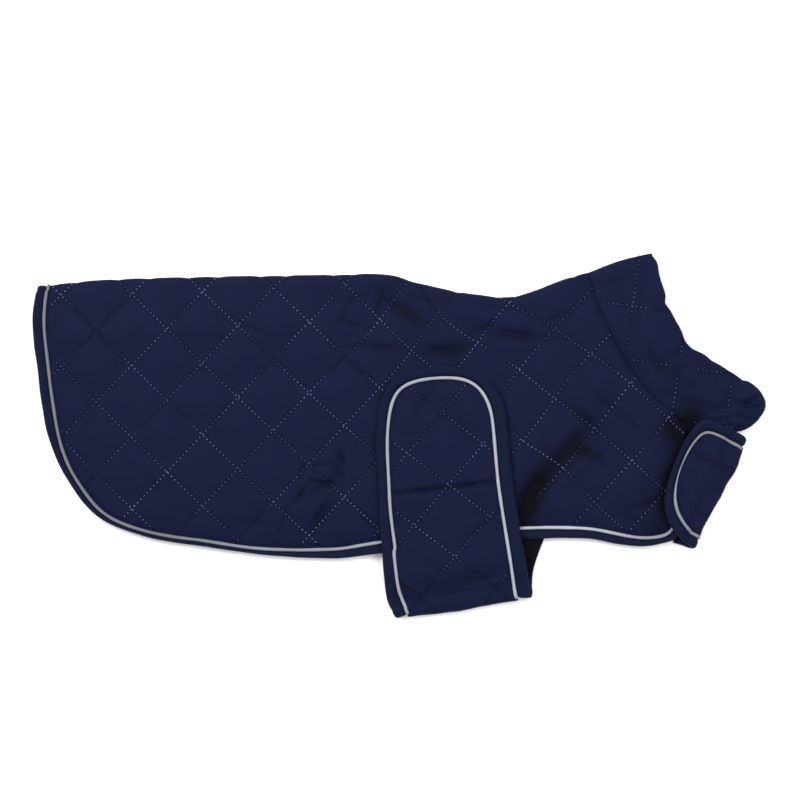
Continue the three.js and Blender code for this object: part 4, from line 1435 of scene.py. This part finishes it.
class COAT_OT_back_panel(bpy.types.Operator):
    """Make the quilted back panel, folded along the back"""

    bl_idname = "coat.back_panel"
    bl_label = "Back panel"

    def execute(self, context):
        sizes = context.scene.coat_sizes
        near, far, folds = panel_layers(sizes)
        creases = MAIN_CREASES + FINE_CREASES + HOLLOWS
        mesh = folded_cloth(near, far, folds, sizes).mesh("quilted_back_panel", BODY_QUILT, creases)
        piece = finish_mesh(mesh, "quilted_back_panel", [finish("quilted_navy"), finish("fleece_lining")])
        stand_for("back_panel")
        return {"FINISHED"}


class COAT_OT_collar(bpy.types.Operator):
    """Make the quilted collar, a tube laid flat"""

    bl_idname = "coat.collar"
    bl_label = "Collar"

    def execute(self, context):
        sizes = context.scene.coat_sizes
        near, far, folds = collar_layers(sizes)
        creases = FINE_GATHERS + HOLLOWS
        mesh = folded_cloth(near, far, folds, sizes).mesh("quilted_collar", COLLAR_QUILT, creases)
        piece = finish_mesh(mesh, "quilted_collar", [finish("quilted_navy"), finish("fleece_lining")])
        stand_for("collar")
        return {"FINISHED"}


class COAT_OT_straps(bpy.types.Operator):
    """Make the quilted belly strap and chest strap"""

    bl_idname = "coat.straps"
    bl_label = "Straps"

    def execute(self, context):
        sizes = context.scene.coat_sizes
        for table in (BELLY_STRAP, CHEST_STRAP):
            near, far, folds = Strap(table, sizes).layers()
            name = "quilted_" + table["name"]
            creases = table["creases"] + table["fine_creases"]
            mesh = folded_cloth(near, far, folds, sizes).mesh(name, table["quilt"], creases)
            piece = finish_mesh(mesh, name, [finish("quilted_navy"), finish("fleece_lining")])
            stand_for(table["name"])
        return {"FINISHED"}


class COAT_OT_trims(bpy.types.Operator):
    """Make the bindings and the reflective pipings round the hem and the straps"""

    bl_idname = "coat.trims"
    bl_label = "Bindings and pipings"

    def execute(self, context):
        sizes = context.scene.coat_sizes
        lines = [("hem", hem_frames())]
        for table in (BELLY_STRAP, CHEST_STRAP):
            lines.append((table["name"], strap_frames(Strap(table, sizes))))
        for name, frames in lines:
            binding = swept(name + "_tape", frames, binding_section, finish("binding_tape"))
            stand_for(name + "_binding")
            if name == "hem":
                x, y = frames["point"][:, 0], frames["point"][:, 1]
                frames = chosen(frames, (x < 200) | (y < -45) | (frames["outward"][:, 2] < 0))
            piping = swept(name + "_reflective_cord", frames, piping_section, finish("reflective_tape"))
            stand_for(name + "_piping")
        return {"FINISHED"}


class COAT_OT_stitches(bpy.types.Operator):
    """Sew the quilting stitches that show on the cloth"""

    bl_idname = "coat.stitches"
    bl_label = "Quilting stitches"

    def execute(self, context):
        sizes = context.scene.coat_sizes
        pieces = bpy.data.objects
        collar = np.vstack([offset_path(NECK_LINE, 3), offset_path(THROAT_LINE, -3)[::-1],
                            offset_path(OPENING_LINE, -4)[::-1], offset_path(BACK_LINE, -0.5)[::-1]])
        back = [NECK_LINE[::-1], offset_path(SPINE_LINE, -0.5)[::-1]]
        near_body = np.vstack([offset_path(HEM_LINE, hem_trim(HEM_LINE) + STITCH_START)] + back)
        far_body = np.vstack([offset_path(HEM_LINE, BINDING_WIDTH + STITCH_START)] + back)
        sewn = {
            "back_panel": (BODY_QUILT, 1.0, 60, near_body, far_body, unfolded),
            "collar": (COLLAR_QUILT, 0.65, 26, collar, collar, unfolded),
        }
        for table in (BELLY_STRAP, CHEST_STRAP):
            strap = Strap(table, sizes)
            flap = inset(strap.upper, strap.widths + STITCH_START)
            root = np.vstack([inset(strap.right, strap.right_trim + STITCH_START),
                              inset(strap.left, -strap.left_trim - STITCH_START)[::-1]])
            sewn[table["name"]] = (table["quilt"], table["thread"], 60, flap, root, strap.cloth_below)
        for name, (quilt, strength, patch, near, far, mirrored) in sewn.items():
            piece = pieces["quilted_" + name]
            rows = stitches_on(piece, quilt, near, 1, sizes, np.array)
            rows += stitches_on(piece, quilt, far, -1, sizes, mirrored)
            title = "stitches_" + name
            mesh = stitch_mesh(title, rows, sizes, strength, patch)
            thread = finish_mesh(mesh, title, [finish("quilting_thread")])
        return {"FINISHED"}


class COAT_OT_stage(bpy.types.Operator):
    """Set the pale floor, the studio light and the camera above the coat"""

    bl_idname = "coat.stage"
    bl_label = "Stage"

    def execute(self, context):
        scene = context.scene
        bpy.ops.mesh.primitive_plane_add(size=6, location=(0, 0, 0))
        floor = context.object
        floor.name = "floor"
        for corner in floor.data.vertices:
            corner.co.z = -FLOOR_DROP
        paper = Finish("white_paper")
        paper.shade({"Base Color": (0.93, 0.93, 0.93, 1), "Roughness": 0.9})
        floor.data.materials.append(paper.material)
        world = bpy.data.worlds.new("studio")
        scene.world = world
        world.use_nodes = True
        sky = world.node_tree.nodes["Background"].inputs
        sky["Color"].default_value = (1, 1, 1, 1)
        sky["Strength"].default_value = 0.75
        for name, place, size, power in (("softbox_left", (-1.25, 1.05, 1.75), 1.2, 54),
                                         ("softbox_right", (1.2, 0.35, 1.8), 1.4, 30)):
            bpy.ops.object.light_add(type="AREA", location=place)
            lamp = context.object
            lamp.name = name
            lamp.data.shape = "SQUARE"
            lamp.data.size = size
            lamp.data.energy = power
            lamp.rotation_euler = (-Vector(place)).to_track_quat("-Z", "Y").to_euler()
        bpy.ops.object.camera_add(location=(0.0011, 0.027, 2.0), rotation=(0, 0, 0))
        camera = context.object
        camera.name = "camera"
        camera.data.lens = 119.4
        camera.data.dof.use_dof = False
        scene.camera = camera
        scene.view_settings.view_transform = "Standard"
        return {"FINISHED"}


class COAT_PT_panel(bpy.types.Panel):
    """Lists the coat's pieces in the order of making"""

    bl_idname = "COAT_PT_panel"
    bl_label = "Dog coat"
    bl_space_type = "VIEW_3D"
    bl_region_type = "UI"
    bl_category = "Dog coat"

    def draw(self, context):
        for group in (context.scene.coat_sizes, context.scene.coat_colours):
            for name in group.__annotations__:
                self.layout.prop(group, name)
        for operator in OPERATORS:
            self.layout.operator(operator.bl_idname)


OPERATORS = (
    COAT_OT_stage, COAT_OT_back_panel, COAT_OT_collar, COAT_OT_straps, COAT_OT_trims,
    COAT_OT_stitches,
)
CLASSES = (CoatSizes, CoatColours, *OPERATORS, COAT_PT_panel)


def register():
    for cls in CLASSES:
        bpy.utils.register_class(cls)
    bpy.types.Scene.coat_sizes = bpy.props.PointerProperty(type=CoatSizes)
    bpy.types.Scene.coat_colours = bpy.props.PointerProperty(type=CoatColours)


def unregister():
    del bpy.types.Scene.coat_colours
    del bpy.types.Scene.coat_sizes
    for cls in reversed(CLASSES):
        bpy.utils.unregister_class(cls)


def main():
    register()
    bpy.ops.coat.stage()
    bpy.ops.coat.back_panel()
    bpy.ops.coat.collar()
    bpy.ops.coat.straps()
    bpy.ops.coat.trims()
    bpy.ops.coat.stitches()
    declare_sheets()


if __name__ == "__main__":
    main()
